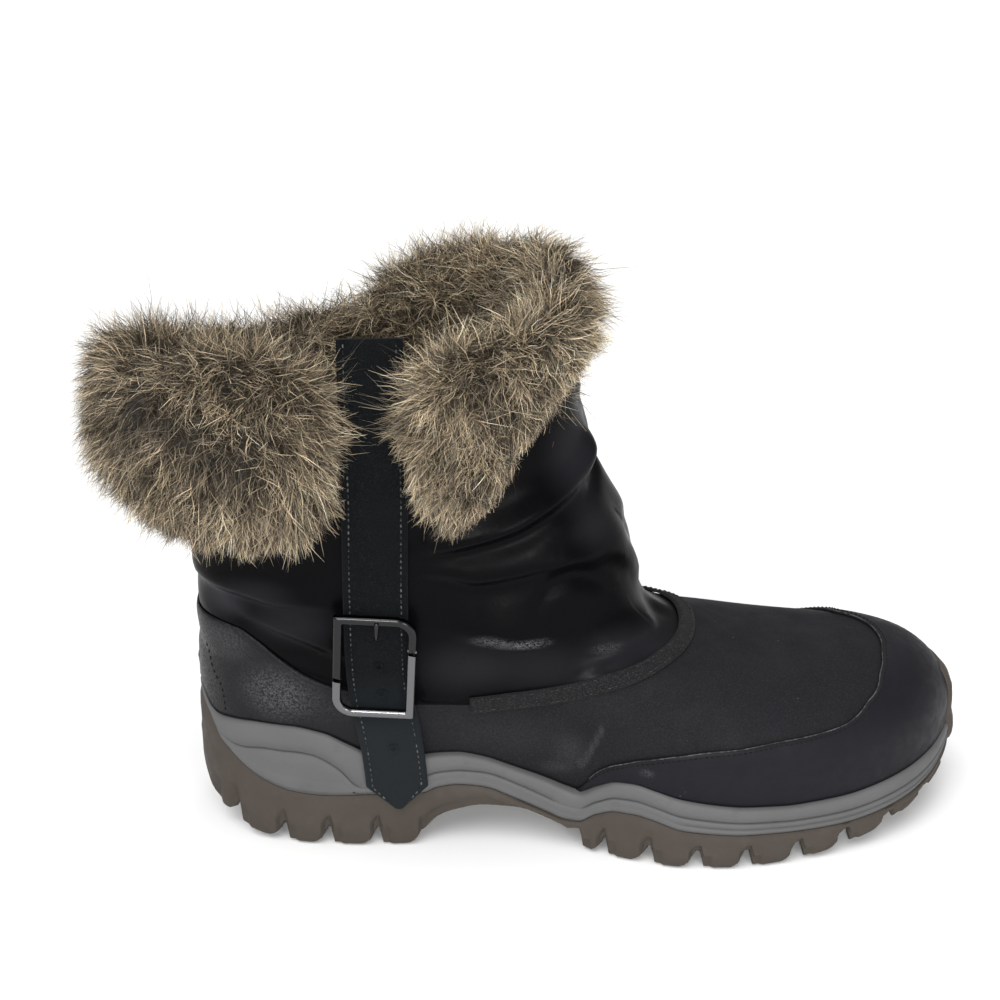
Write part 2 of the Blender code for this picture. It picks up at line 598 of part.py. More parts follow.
def facet_column(outer, turn):
    """Upright line of the upper's faces at a turn, from the ankle to the collar."""
    t = np.mod(turn, 360.0)
    j = int(np.searchsorted(TURNS, t)) % len(TURNS)
    i = j - 1
    width = np.mod(TURNS[j] - TURNS[i], 360.0)
    share = np.mod(t - TURNS[i], 360.0) / width
    first = OUTER_LEVELS.index(11)
    return outer[first:, i] + (outer[first:, j] - outer[first:, i]) * share


# fall of a cuff from crest to lower edge: share of the height, share of the thickness
CUFF_FALL = ((0.0, 0.62), (0.16, 0.78), (0.34, 0.9), (0.52, 0.98), (0.7, 0.98), (0.86, 0.86), (0.96, 0.66))


# faces that close a cuff's end, by place in its ring
CUFF_CAP = (
    (4, 5, 6), (4, 6, 7, 3), (3, 7, 8, 2), (2, 8, 9), (2, 9, 10, 1), (1, 10, 11), (1, 11, 12), (1, 12, 13, 0),
    (0, 13, 14), (0, 14, 15), (0, 15, 16),
)


def build_cuff(name, table, outer):
    """Fur cuff folded over the collar edge: an outer fall, a rolled crest and an inner fall."""
    first, last = table[0][0], table[-1][0]
    own = [t + k for k in (-360.0, 0.0) for t in TURNS if first + 1.2 < t + k < last - 1.2]
    turns = [first]
    for turn in own + [last]:
        parts = int(math.ceil((turn - turns[-1]) / CUFF_STEP))
        turns += list(np.linspace(turns[-1], turn, parts + 1)[1:])
    lower, thick, crest, depth_in = (column(table, k) for k in (1, 2, 3, 4))
    rings = []
    run = 0.0
    before = None
    for turn in turns:
        here = facet_column(outer, turn)
        top = here[-1]
        d = outward(top[None, :])[0]
        d[2] = 0.0
        d = d / np.linalg.norm(d)
        if before is not None:
            run += float(np.linalg.norm(top[:2] - before))
        before = top[:2]
        end = min(1.0, 0.45 + min(turn - first, last - turn) / 14.0)
        fat = float(thick(turn)) * end
        rise = float(crest(turn)) * end
        inside = CUFF_INSIDE * (0.5 + 0.5 * end)
        z1 = float(top[2])
        z0 = min(float(lower(turn)), z1 - 10.0)
        zi = z1 - float(depth_in(turn))

        def put(base, off, z):
            level = min(base, z1)
            x = np.interp(level, here[:, 2], here[:, 0]) + d[0] * off
            y = np.interp(level, here[:, 2], here[:, 1]) + d[1] * off
            return (x, y, z)

        fall = z1 - z0
        ring = [
            put(z0 + 2.0, GAP + 0.2, z0 + 2.0),
            put(z0 + 0.5 * fall, GAP + 0.2, z0 + 0.5 * fall),
            put(z1, GAP + 0.2, z1 + GAP),
            put(z1, -WALL - GAP - 0.4, z1 + GAP),
            put(zi, -WALL - GAP - 0.6, zi),
            put(zi, -WALL - 0.75 * inside, zi + 1.0),
            put(z1 - 5.0, -WALL - inside, z1 - 5.0),
            put(z1, -WALL - 0.55 * inside, z1 + 0.75 * rise),
            put(z1, 0.1 * fat, z1 + rise),
        ]
        for s, share in CUFF_FALL:
            z = z1 + 0.6 * rise - s * (fall + 0.6 * rise)
            ring.append(put(z, fat * share + (lock(run, s * fall) - 0.7 * LOCK_DEPTH) * end, z))
        tip = float(lock(run, 0.95 * fall)) * end
        ring.append(put(z0 + 1.0, 0.36 * fat, z0 - 1.3 * tip))
        rings.append(ring)
    ring_loft(name, rings, (0.17, 0.13, 0.085), 0.95, cap=CUFF_CAP)


def build_strap():
    """Strap down the lateral side; each row clears the upper, the counter and the sole."""
    half = STRAP_WIDTH / 2
    under = [tree(name) for name in ("upper", "heel_counter", "midsole", "outsole")]
    rows = []
    for z, x, lean in STRAP:
        reach = []
        for dx in (-half, 0.0, half):
            y = np.linspace(-70.0, -10.0, 1201)
            inside = last_form(np.full(y.size, x + dx), y, np.full(y.size, max(z, 60.0))) < 0
            touch = [y[np.argmax(inside)] if z > 145.0 else 0.0]
            for dz in (-5.0, -2.5, 0.0, 2.5, 5.0):
                for part in under:
                    hit = part.ray_cast(Vector((x + dx * 0.98, -90.0, z + dz)), Vector((0.0, 1.0, 0.0)))[0]
                    if hit is not None and hit.y < -25.0:
                        touch.append(hit.y)
            reach.append(min(touch))
        slope = (reach[2] - reach[0]) / STRAP_WIDTH
        middle = min(reach[1], (reach[0] + reach[2]) / 2)
        rows.append((x, middle - GAP + lean, z, slope))
    rings = []
    for k, (x, y, z, slope) in enumerate(rows):
        w = 1.2 if k == 0 else half
        rings.append([
            (x - w, y - slope * w, z), (x + w, y + slope * w, z),
            (x + w, y + slope * w - STRAP_THICK, z), (x - w, y - slope * w - STRAP_THICK, z),
        ])
    ring_loft("strap", rings, (0.012, 0.014, 0.013), 0.95)
    return rows


def buckle_outline(width, height, corner, steps):
    """Frame outline with two square and two round corners."""
    pts = []
    corners = ((1, -1, -90, 0.8), (1, 1, 0, corner), (-1, 1, 90, 0.8), (-1, -1, 180, corner))
    for cx, cz, start, r in corners:
        ox = cx * (width / 2 - r)
        oz = cz * (height / 2 - r)
        for k in range(steps):
            a = math.radians(start + 90.0 * k / (steps - 1))
            pts.append((ox + r * math.cos(a), oz + r * math.sin(a)))
    return pts


def build_buckle(strap_rows):
    z_mid = 80.8
    x_mid = 67.4
    zs, xs, ys, slopes = (np.array([r[k] for r in strap_rows]) for k in (2, 0, 1, 3))
    z_lo, z_hi = z_mid - BUCKLE_HEIGHT / 2, z_mid + BUCKLE_HEIGHT / 2
    slope = float(np.interp(z_mid, zs, slopes))
    x_strap = float(np.interp(z_mid, zs, xs))
    y_lo, y_hi = np.interp(z_lo, zs, ys) - STRAP_THICK, np.interp(z_hi, zs, ys) - STRAP_THICK
    bulge = 0.0
    for z in np.linspace(z_lo - 2.0, z_hi + 2.0, 40):
        for side in (-STRAP_WIDTH / 2, 0.0, STRAP_WIDTH / 2):
            face = np.interp(z, zs, ys) + np.interp(z, zs, slopes) * side - STRAP_THICK
            x = np.interp(z, zs, xs) + side
            flat = y_lo + (y_hi - y_lo) * (z - z_lo) / BUCKLE_HEIGHT + slope * (x - x_strap)
            bulge = min(bulge, float(face - flat))
    lean = math.radians(-3.0)

    def place(u, w, off):
        x = x_mid + u * math.cos(lean) - w * math.sin(lean)
        z = z_mid + u * math.sin(lean) + w * math.cos(lean)
        y = y_lo + (y_hi - y_lo) * (z - z_lo) / BUCKLE_HEIGHT + bulge - GAP - off + slope * (x - x_strap)
        return (x, y, z)

    outer = buckle_outline(BUCKLE_WIDTH, BUCKLE_HEIGHT, 8.0, 4)
    inner = buckle_outline(BUCKLE_WIDTH - 2 * BUCKLE_BAR, BUCKLE_HEIGHT - 2 * BUCKLE_BAR, 5.6, 4)
    rings = []
    for (a, b), (c, d) in zip(outer, inner):
        m = 0.22
        rings.append([
            place(a, b, 0.0), place(a, b, 0.7 * BUCKLE_THICK),
            place(a + (c - a) * m, b + (d - b) * m, BUCKLE_THICK),
            place(c - (c - a) * m, d - (d - b) * m, BUCKLE_THICK),
            place(c, d, 0.7 * BUCKLE_THICK), place(c, d, 0.0),
        ])
    rings = np.array(rings)
    n, m = rings.shape[:2]
    ids = np.arange(n * m).reshape(n, m)
    faces = []
    for i in range(n):
        faces += strip(list(ids[i]), list(ids[(i + 1) % n]), closed=True)
    add("buckle_frame", rings.reshape(-1, 3), faces, (0.22, 0.22, 0.23), 0.22, 1.0)
    top = BUCKLE_HEIGHT / 2 - BUCKLE_BAR - GAP
    prong = []
    for w, half in ((top, 1.1), (top - 4.0, 1.0), (top - 7.0, 0.6)):
        prong.append([
            place(0.4 - half, w, 0.0), place(0.4 + half, w, 0.0),
            place(0.4 + half, w, 1.5), place(0.4 - half, w, 1.5),
        ])
    ring_loft("buckle_prong", prong, (0.22, 0.22, 0.23), 0.22, 1.0)


build_outsole()
build_midsole()
build_insole()
outer_grid = build_upper()
overlay("toe_guard", 87.5, 272.5, column(GUARD_EDGE, 1), GUARD_LEVELS, (0.013, 0.013, 0.017), 0.45)
counter_side = column(COUNTER_EDGE, 1)


def counter_edge(turn):
    return counter_side(abs(turn))


overlay("heel_counter", -63.5, 63.5, counter_edge, COUNTER_LEVELS, (0.014, 0.014, 0.018), 0.5)
build_trim()
build_cuff("rear_cuff", REAR_CUFF, outer_grid)
build_cuff("front_cuff", FRONT_CUFF, outer_grid)
strap_rows = build_strap()
build_buckle(strap_rows)

every = np.concatenate([p[0] for p in PIECES.values()])
low_corner = every.min(0)
high_corner = every.max(0)
shift = np.array([*(low_corner[:2] + high_corner[:2]) / 2, low_corner[2]])

for piece, (points, triangles, colour, rough, metal) in PIECES.items():
    mesh = bpy.data.meshes.new(piece)
    mesh.from_pydata([tuple((p - shift) * MM) for p in points], [], triangles)
    work = bmesh.new()
    work.from_mesh(mesh)
    bmesh.ops.recalc_face_normals(work, faces=work.faces)
    work.to_mesh(mesh)
    work.free()
    material = bpy.data.materials.new(piece)
    material.use_nodes = True
    shader = material.node_tree.nodes["Principled BSDF"]
    shader.inputs["Base Color"].default_value = (*colour, 1.0)
    shader.inputs["Roughness"].default_value = rough
    shader.inputs["Metallic"].default_value = metal
    mesh.materials.append(material)
    thing = bpy.data.objects.new(piece, mesh)
    bpy.context.scene.collection.objects.link(thing)
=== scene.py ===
"""Looks of the waterproof winter boot: fine surfaces, folds, fur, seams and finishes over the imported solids.

Sizes are millimetres in the boot's own axes: x from the heel's back to the toe, y to the medial side, z up.
SHIFT and MM turn them into the frame's metres.
"""
import math

import bmesh
import bpy
import numpy as np
from mathutils import Matrix, Vector
from mathutils.bvhtree import BVHTree


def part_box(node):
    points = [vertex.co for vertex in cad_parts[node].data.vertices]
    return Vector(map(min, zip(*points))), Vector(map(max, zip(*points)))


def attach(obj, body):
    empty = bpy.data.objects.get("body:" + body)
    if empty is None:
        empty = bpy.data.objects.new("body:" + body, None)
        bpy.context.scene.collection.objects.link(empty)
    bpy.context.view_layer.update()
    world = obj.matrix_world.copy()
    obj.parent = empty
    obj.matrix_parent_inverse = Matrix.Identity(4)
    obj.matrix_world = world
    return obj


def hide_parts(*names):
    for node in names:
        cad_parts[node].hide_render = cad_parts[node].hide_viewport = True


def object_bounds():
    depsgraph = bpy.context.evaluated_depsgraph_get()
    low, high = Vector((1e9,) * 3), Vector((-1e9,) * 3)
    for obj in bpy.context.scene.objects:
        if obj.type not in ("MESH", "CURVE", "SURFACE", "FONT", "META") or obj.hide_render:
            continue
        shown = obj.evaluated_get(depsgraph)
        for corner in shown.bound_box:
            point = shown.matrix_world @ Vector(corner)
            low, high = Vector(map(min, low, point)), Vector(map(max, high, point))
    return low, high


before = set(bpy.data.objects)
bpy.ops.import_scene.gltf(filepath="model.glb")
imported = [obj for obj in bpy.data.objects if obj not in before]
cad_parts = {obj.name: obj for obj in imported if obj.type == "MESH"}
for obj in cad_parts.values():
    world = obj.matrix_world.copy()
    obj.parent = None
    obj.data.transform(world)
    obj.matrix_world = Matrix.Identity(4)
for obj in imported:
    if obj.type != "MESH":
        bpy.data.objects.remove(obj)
cad_box = [list(corner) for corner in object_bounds()]

MM = 0.001
SOLE_LENGTH = 290.0
# x where the tables of the sole's side start and end, and x of the last's ends
SOLE_ENDS = (0.3, 289.7)
LAST_ENDS = (1.2, 288.6)
# last of the foot: powers across and up and the root over both, millimetres to one unit of its form, rise of
# the form past an end, depth below the widest line, half width over the feather line, least half size
FOOT_POWERS = (2.4, 2.1, 2.2)
FOOT_SCALE = 36.0
PAST_END = 60.0
FOOT_DEPTH = 75.0
LAST_SPARE = 0.6
LEAST_HALF = 0.4
SHAFT_POWER = 2.35
SHAFT_SCALE = 40.0
# foot and shaft run together: least blend, what it gains towards the instep, x over which it gains that
BLEND = (3.0, 15.0)
BLEND_X = (80.0, 140.0)
# line the rays start from: y at the heel, what it gains towards the toe, x over which it gains that
SPINE = (-2.0, 7.0)
SPINE_X = (130.0, 260.0)
# rays that find the upper: x of the shaft's back and front at the ankle and how far back each lies at the
# collar, spread of the rays' starts along the boot, their length
RAY_BACK = (1.0, 12.0)
RAY_FRONT = (157.0, 17.0)
RAY_SPREAD = 0.36
RAY_REACH = 120.0
WALL = 3.0
SEAT = 0.35
OVERLAY = 1.2
FEATHER_INSET = 2.2
LEDGE = 6.6
DISH_INSET = 10.0
RIB = 0.9
# height of the midsole's side from which its ribs have their full size
RIB_FULL = 9.0
LUG_DEPTH = 6.5
LUG_BEVEL = 4.2
# blocks of the tread: half width of a drafted flank, stations on the facet after a block's start and on the
# bevel round its end
LUG_DRAFT = 0.7
LUG_FACET = (2.6, 3.4, 4.2)
LUG_END = (-4.2, -3.2, -2.2, -1.3, 1.4, 2.1)
# x over which the arch and the tread's long grooves start and end, and x over which the plain heel end goes
# over into blocks
ARCH = ((84.0, 88.0), (138.0, 142.0))
GROOVED = ((9.0, 16.0), (274.0, 282.0))
PLAIN_HEEL = (4.0, 9.0)
BUMPER_TURNS = (170.0, 214.0)
BUMPER_THICK = 1.8
# toe guard: turns of its ends and of its seam's ends
GUARD_TURNS = (89.0, 272.0)
GUARD_SEAM = (91.0, 269.0)
# heel counter: turn of its ends from the heel's back, turn up to which it hides the joint of shaft and vamp,
# turn of its two seams and the levels they run between
COUNTER_END = 63.5
UNDER_COUNTER = 62.0
COUNTER_SEAM_TURN = 25.0
COUNTER_SEAM = (0.6, 11.5)
INSOLE_BACK = 12.0
TRIM_WIDTH = 6.5
TRIM_SEAM = 0.66
# section of the throat trim: place across from -1 to 1, share of its thickness
TRIM_PROFILE = (
    (-1.0, 0.1), (-0.96, 0.75), (-0.8, 1.0), (-0.45, 0.92), (0.0, 1.0), (0.45, 0.92), (0.8, 1.0),
    (0.96, 0.75), (1.0, 0.1),
)
# cloth of the shaft: degrees between its columns, how far from a fold it moves, share of a trough's depth
# that shows, deepest trough, height and length of its faint waves, distances from the strap's middle over
# which ridges come back
TURN_STEP = 0.75
FOLD_REACH = 25
TROUGH_SHARE = 0.75
TROUGH_LIMIT = 2.7
WAVE = 0.55
WAVE_LENGTH = 6.3
STRAP_CLEAR = (12.0, 18.0)
STRAP_THICK = 2.0
STRAP_SEAM = 0.79
# section of the strap: place across from -1 to 1, share of its thickness
STRAP_PROFILE = (
    (-0.97, 0.0), (-1.0, 0.3), (-1.0, 0.7), (-0.96, 0.93), (-0.86, 1.0), (-0.76, 0.93), (-0.6, 1.02),
    (-0.3, 1.06), (0.0, 1.08), (0.3, 1.06), (0.6, 1.02), (0.76, 0.93), (0.86, 1.0), (0.96, 0.93), (1.0, 0.7),
    (1.0, 0.3), (0.97, 0.0), (0.0, 0.0),
)
HOLE_HEIGHTS = (80.0, 67.5, 44.0)
BUCKLE_WIDTH = 30.0
BUCKLE_HEIGHT = 44.0
BUCKLE_BAR = 3.3
BUCKLE_THICK = 2.4
BUCKLE_MIDDLE = (67.4, 80.8)
BUCKLE_LEAN = -3.0
# section of the buckle's bar: share of the way in, share of its thickness
BUCKLE_PROFILE = (
    (0.0, 0.0), (0.0, 0.62), (0.1, 0.86), (0.24, 1.0), (0.76, 1.0), (0.9, 0.86), (1.0, 0.62), (1.0, 0.0),
)
# where the frame's two halves meet, across and up from its middle
BUCKLE_SLITS = ((15.0, 7.6), (-15.0, -5.4))
PIN_LENGTH = 8.6
# fur: hairs of a piece, half width of a hair, reach past the solids' box, share from which a hair is dark
HAIRS = 28500
HAIR_HALF = 0.09
HAIR_REACH = 7.0
DARK_KIND = 0.66
# hairs to a lock, spread of a lock's lean, and spread of a hair's own lean, bend and kink
LOCK_HAIRS = 30
LOCK_LEAN = 0.5
HAIR_LEAN = 0.27
HAIR_BEND = 0.42
HAIR_KINK = 0.07
# places along a hair, and its share of the width at each
HAIR_STEPS = np.array([0.0, 0.36, 0.7, 1.0])
HAIR_TAPER = np.array([1.0, 1.0, 0.75, 0.12])
# hair by the strap: distances from its middle over which the lean over it ends, heights from which hair lies
# over it, heights below which it stays bare, distances from its middle where hair stops there, half of the
# width over which hair is kept in front of it
LEAN_OVER = (13.0, 28.0)
COVERED_STRAP = (162.0, 176.0)
BARE_STRAP = (158.0, 168.0)
BARE_EDGE = (9.5, 12.5)
STRAP_HALF = 12.5
# parts in which distances between many roots and points are worked out
CHUNKS = 8
DOWN = np.array([0.0, 0.0, -1.0])
# colours of the fur; the dark root is partly the fur's own colour and partly painted shadow deep in the fur
FUR_ROOT = np.array([0.011, 0.008, 0.0055])
FUR_BODY = np.array([0.066, 0.048, 0.029])
FUR_PALE = np.array([0.6, 0.475, 0.31])
FUR_GOLD = np.array([0.95, 0.765, 0.515])
FUR_GREY = np.array([0.25, 0.22, 0.172])
FUR_DARK = np.array([0.026, 0.0195, 0.014])
REAR_PARTING = ((-8, -38, 183), (0, -45, 181), (8, -50, 177), (17, -54, 171), (25, -56, 170))
# cuffs: node, partings of the fur as boot points, length of its hair, lean to the heel outside, lean over the
# strap, spill past the lower edge and how much less of it to the toe, seed
FUR_PLAN = (
    ("rear_cuff", (REAR_PARTING,), 12.0, 0.0, 4.2, (9.0, 0.0), 20260),
    ("front_cuff", (), 11.5, 0.6, 0.35, (2.6, 3.6), 20270),
)
# floor and light: metres in the frame, degrees for the sun's spread; lamps: name, place, size, power
FLOOR_HALF = 6.0
FLOOR_DROP = 0.0004
WORLD_STRENGTH = 0.42
SUN_STRENGTH = 2.5
SUN_SPREAD = 60.0
SUN_WAY = (0.3, 0.35, -1.0)
LAMP_TARGET = (0.0, 0.0, 0.08)
LAMPS = (
    ("key", (-0.12, -1.25, 0.6), 0.3, 8.0), ("side", (0.45, -1.1, 0.3), 0.25, 3.5),
    ("rim", (0.4, 0.8, 1.0), 0.7, 2.0),
)
# camera: lens, degrees down and to the toe, boot point
CAMERA_LENS = 73.8
CAMERA_PITCH = 25.0
CAMERA_YAW = 2.0
CAMERA_PLACE = (90.12, -684.77, 445.56)

# plan of the sole: x, lateral edge, medial edge
SOLE_PLAN = (
    (0.0, 1.0, 1.0), (4.0, -14.0, 15.0), (12.0, -23.0, 23.5), (26.0, -30.0, 29.5), (45.0, -34.0, 32.5),
    (65.0, -35.5, 33.0), (90.0, -35.5, 29.5), (115.0, -36.5, 27.0), (140.0, -41.0, 30.5),
    (160.0, -48.5, 38.0), (180.0, -54.5, 44.0), (198.0, -55.5, 46.5), (215.0, -53.0, 47.0),
    (235.0, -48.0, 45.5), (252.0, -41.5, 41.8), (266.0, -33.0, 36.4), (277.0, -22.4, 30.0),
    (285.0, -10.0, 22.4), (290.0, 7.5, 7.5),
)
# side of the sole: x, top of the midsole, seam of midsole and outsole, floor of the lugs
SOLE_SIDE = (
    (0.3, 55.5, 53.0, 22.0), (2.0, 53.0, 50.2, 17.5), (4.5, 49.5, 46.6, 12.5), (8.0, 48.0, 40.5, 8.5),
    (14.0, 48.8, 33.0, 4.6), (24.0, 50.0, 26.0, 1.6), (35.0, 50.0, 22.2, 0.2), (48.0, 47.6, 21.2, 0.0),
    (56.0, 43.5, 21.6, 0.0), (64.0, 39.6, 22.0, 0.0), (76.0, 37.6, 22.0, 0.0), (84.0, 37.6, 22.4, 1.8),
    (89.0, 38.2, 24.6, 10.5), (97.0, 38.6, 25.8, 13.8), (106.0, 37.0, 25.0, 15.6), (119.0, 32.2, 19.8, 14.8),
    (130.0, 28.2, 15.2, 11.4), (137.0, 25.4, 12.6, 8.0), (142.0, 24.0, 12.4, 2.0), (148.0, 27.8, 16.6, 0.0),
    (156.0, 32.0, 19.8, 0.0), (162.0, 32.4, 19.8, 0.0), (170.0, 30.8, 18.4, 0.0), (179.0, 28.4, 15.8, 0.0),
    (190.0, 26.4, 14.6, 0.0), (206.0, 24.6, 13.6, 0.0), (222.0, 23.4, 12.8, 0.4), (240.0, 23.6, 12.4, 2.6),
    (257.0, 25.2, 13.6, 6.2), (270.0, 26.8, 15.4, 10.0), (279.0, 28.0, 18.0, 13.2), (285.0, 28.8, 20.4, 15.6),
    (289.7, 29.0, 22.0, 17.4),
)
# grooves of the midsole's side: x, place of the upper one from top to seam, its depth, the lower one's depth
GROOVES = (
    (0.3, 0.70, 0.0, 0.0), (8.0, 0.80, 0.0, 0.0), (13.0, 0.66, 0.6, 0.0), (27.0, 0.40, 0.9, 0.0),
    (42.0, 0.36, 0.9, 0.0), (53.0, 0.51, 0.9, 0.0), (60.0, 0.80, 0.6, 0.0), (63.5, 0.84, 0.0, 0.0),
    (80.0, 0.52, 0.0, 0.0), (84.0, 0.51, 0.8, 0.0), (98.0, 0.50, 0.9, 0.0), (113.0, 0.43, 0.9, 0.0),
    (131.0, 0.49, 0.8, 0.0), (135.0, 0.50, 0.0, 0.0), (142.0, 0.50, 0.0, 0.0), (147.0, 0.50, 0.8, 0.0),
    (172.0, 0.50, 0.9, 0.0), (186.0, 0.50, 0.9, 0.5), (260.0, 0.52, 0.9, 0.5), (286.0, 0.50, 0.8, 0.4),
    (289.7, 0.50, 0.6, 0.3),
)
# blocks of the tread: x of the start, x of the end
LUGS = (
    (4.2, 11.2), (14.6, 29.0), (32.6, 46.0), (49.6, 64.5), (68.0, 82.5), (143.0, 149.2), (152.4, 165.0),
    (169.0, 182.6), (187.0, 201.2), (205.6, 220.6), (225.4, 239.0), (243.6, 257.0), (261.6, 272.6),
    (276.4, 284.4),
)
# foot bed inside the midsole: x, height
FOOT_BED = (
    (0.0, 51.0), (12.0, 43.5), (24.0, 36.5), (48.0, 33.0), (84.0, 31.0), (100.0, 30.5), (119.0, 26.5),
    (139.0, 21.6), (157.0, 23.6), (177.0, 20.6), (205.0, 19.0), (240.0, 19.0), (270.0, 20.6), (290.0, 23.4),
)
# last of the foot: x, ridge height, ridge y, height of the widest line
FOOT = (
    (0.0, 66.0, 1.0, 62.0), (4.0, 82.0, 1.0, 62.0), (14.0, 93.0, 0.5, 62.0), (60.0, 96.0, 0.0, 60.0),
    (120.0, 93.0, -1.0, 54.0), (150.0, 86.0, -1.0, 49.0), (170.0, 79.6, 0.0, 46.0), (191.0, 74.6, 1.0, 44.0),
    (221.0, 69.2, 3.0, 41.0), (248.0, 66.6, 5.0, 39.5), (262.0, 64.2, 6.0, 39.0), (271.0, 61.4, 6.5, 38.5),
    (280.0, 55.8, 7.0, 38.0), (286.0, 48.8, 7.0, 37.5), (290.0, 37.5, 7.0, 37.0),
)
# shaft: height, back x, front x, lateral y, medial y
SHAFT = (
    (56.0, 7.0, 146.0, -32.0, 31.0), (80.0, 2.6, 161.0, -37.5, 34.0), (95.0, 1.6, 165.0, -40.5, 36.0),
    (120.0, 0.5, 159.5, -42.5, 38.0), (150.0, -4.0, 147.5, -42.5, 38.0), (175.0, -8.5, 141.0, -41.5, 37.0),
    (200.0, -12.0, 137.0, -40.0, 36.0), (245.0, -14.0, 133.0, -38.0, 34.0),
)
# loops of the upper up to the ankle: level, share of the plane, height at the heel, front x, front height
LOOPS = (
    (0, 0.00, 58.0, 286.0, 50.0), (1, 0.33, 58.0, 286.0, 50.0), (2, 0.62, 58.0, 286.0, 50.0),
    (3, 0.86, 58.5, 285.0, 50.5), (4, 1.00, 60.0, 279.0, 56.4), (5, 1.00, 61.5, 270.0, 61.6),
    (6, 1.00, 63.0, 257.0, 65.2), (7, 1.00, 64.5, 240.0, 67.4), (8, 1.00, 66.5, 222.0, 69.2),
    (9, 1.00, 69.0, 205.0, 72.2), (10, 1.00, 72.0, 190.0, 76.4), (11, 1.00, 75.5, 179.0, 83.0),
    (12, 1.00, 79.0, 171.0, 93.0), (13, 1.00, 84.0, 165.0, 106.0), (14, 1.00, 90.0, 160.0, 120.0),
)
ANKLE_LEVEL = 14
COLLAR_LEVEL = 23
# collar edge: turn from the heel's back over the lateral side, height
COLLAR = (
    (0.0, 185.0), (40.0, 187.0), (70.0, 187.0), (80.0, 184.0), (83.5, 153.0), (90.0, 152.0), (97.0, 152.0),
    (100.0, 163.0), (104.0, 179.0), (111.0, 187.0), (132.0, 193.0), (155.0, 198.0), (180.0, 203.0),
    (205.0, 208.0), (230.0, 206.0), (250.0, 201.0), (262.0, 194.0), (271.0, 186.0), (281.0, 178.0),
    (298.0, 172.0), (318.0, 173.0), (340.0, 180.0), (360.0, 185.0),
)
# top edge of the toe guard: turn, level
GUARD_EDGE = (
    (89.0, 0.35), (91.5, 0.7), (95.0, 1.1), (98.0, 1.65), (102.0, 2.45), (108.0, 3.0), (116.0, 3.25),
    (122.0, 3.32), (128.0, 3.45), (132.0, 3.65), (138.0, 4.1), (149.0, 5.0), (164.0, 5.6), (182.0, 5.8),
    (195.0, 5.9), (208.0, 5.8), (220.0, 5.0), (232.0, 4.0), (244.0, 3.4), (254.0, 3.0), (262.0, 2.2),
    (268.0, 1.2), (272.0, 0.35),
)
# top edge of the heel counter: turn either way from the heel's back, level
COUNTER_EDGE = ((0.0, 14.0), (30.0, 13.9), (47.0, 13.5), (53.0, 12.6), (57.0, 11.0), (60.0, 8.6), (63.0, 6.2))
# middle of the throat trim: turn, level
TRIM_LINE = (
    (74.0, 4.3), (87.0, 5.6), (100.0, 7.1), (113.0, 8.5), (125.0, 9.3), (136.0, 9.75), (150.0, 9.95),
    (165.0, 10.0), (180.0, 10.0), (195.0, 10.0), (210.0, 9.95), (224.0, 9.75), (235.0, 9.3), (247.0, 8.5),
    (260.0, 7.1), (273.0, 5.6), (286.0, 4.3),
)
# folds of the shaft: width, depth of the trough, lift of the ridge above, (turn, height) along the fold
FOLDS = (
    (5.5, 3.6, 3.4, ((152, 149), (137, 142), (125, 136), (116, 131), (108, 128), (101, 126), (94, 125))),
    (5.0, 2.6, 2.4, ((168, 158), (158, 152), (150, 146), (141, 139))),
    (6.0, 2.2, 1.8, ((92, 118), (99, 116), (106, 112), (114, 113), (123, 115), (136, 114), (156, 106))),
    (4.5, 3.2, 1.6, ((116, 104), (119, 109), (127, 113), (133, 110), (138, 104))),
    (9.0, 0.8, 3.2, ((95, 92), (102, 89), (107, 85), (114, 81))),
    (6.0, 0.8, 2.0, ((117, 81), (129, 80), (143, 80), (158, 84))),
    (6.0, 2.4, 2.4, ((16, 107), (33, 105), (51, 104), (62, 102), (76, 102))),
    (6.0, 1.8, 1.4, ((44, 98), (57, 92), (64, 88), (71, 80))),
    (5.0, 1.0, 1.2, ((61, 55), (66, 58), (73, 62))),
    (6.0, 3.0, 2.6, ((208, 150), (222, 143), (238, 136), (252, 131), (268, 128))),
    (5.5, 2.4, 2.0, ((202, 108), (222, 112), (240, 110), (258, 114), (276, 117))),
    (6.0, 2.0, 2.0, ((230, 90), (246, 92), (262, 88))),
    (6.0, 2.2, 2.0, ((288, 104), (304, 106), (322, 104), (344, 106))),
    (7.0, 0.8, 0.9, ((164, 118), (180, 121), (198, 117))),
    (6.0, 0.9, 0.9, ((168, 96), (184, 98), (204, 94))),
    (6.0, 0.9, 0.9, ((158, 172), (176, 170), (196, 168))),
)


def smooth(xs, ys):
    """Smooth curve through the rows of a table, without overshoot."""
    xs = np.asarray(xs, float)
    ys = np.asarray(ys, float)
    step = np.diff(xs)
    slope = np.diff(ys) / step
    same = slope[:-1] * slope[1:] > 0
    w1 = 2 * step[1:] + step[:-1]
    w2 = step[1:] + 2 * step[:-1]
    s1 = np.where(same, slope[:-1], 1.0)
    s2 = np.where(same, slope[1:], 1.0)
    middle = np.where(same, (w1 + w2) / (w1 / s1 + w2 / s2), 0.0)
    tangent = np.concatenate([[slope[0]], middle, [slope[-1]]])

    def at(q):
        q = np.clip(q, xs[0], xs[-1])
        i = np.clip(np.searchsorted(xs, q) - 1, 0, len(step) - 1)
        t = (q - xs[i]) / step[i]
        a = (1 + 2 * t) * (1 - t) ** 2 * ys[i] + t * (1 - t) ** 2 * step[i] * tangent[i]
        return a + t * t * (3 - 2 * t) * ys[i + 1] + t * t * (t - 1) * step[i] * tangent[i + 1]

    return at


def column(table, k):
    return smooth([row[0] for row in table], [row[k] for row in table])


def ease(low, high, v):
    """Soft step from 0 at low to 1 at high."""
    t = np.clip((v - low) / (high - low), 0, 1)
    return t * t * (3 - 2 * t)


def unit(v):
    return v / np.maximum(np.linalg.norm(v, axis=-1, keepdims=True), 1e-9)


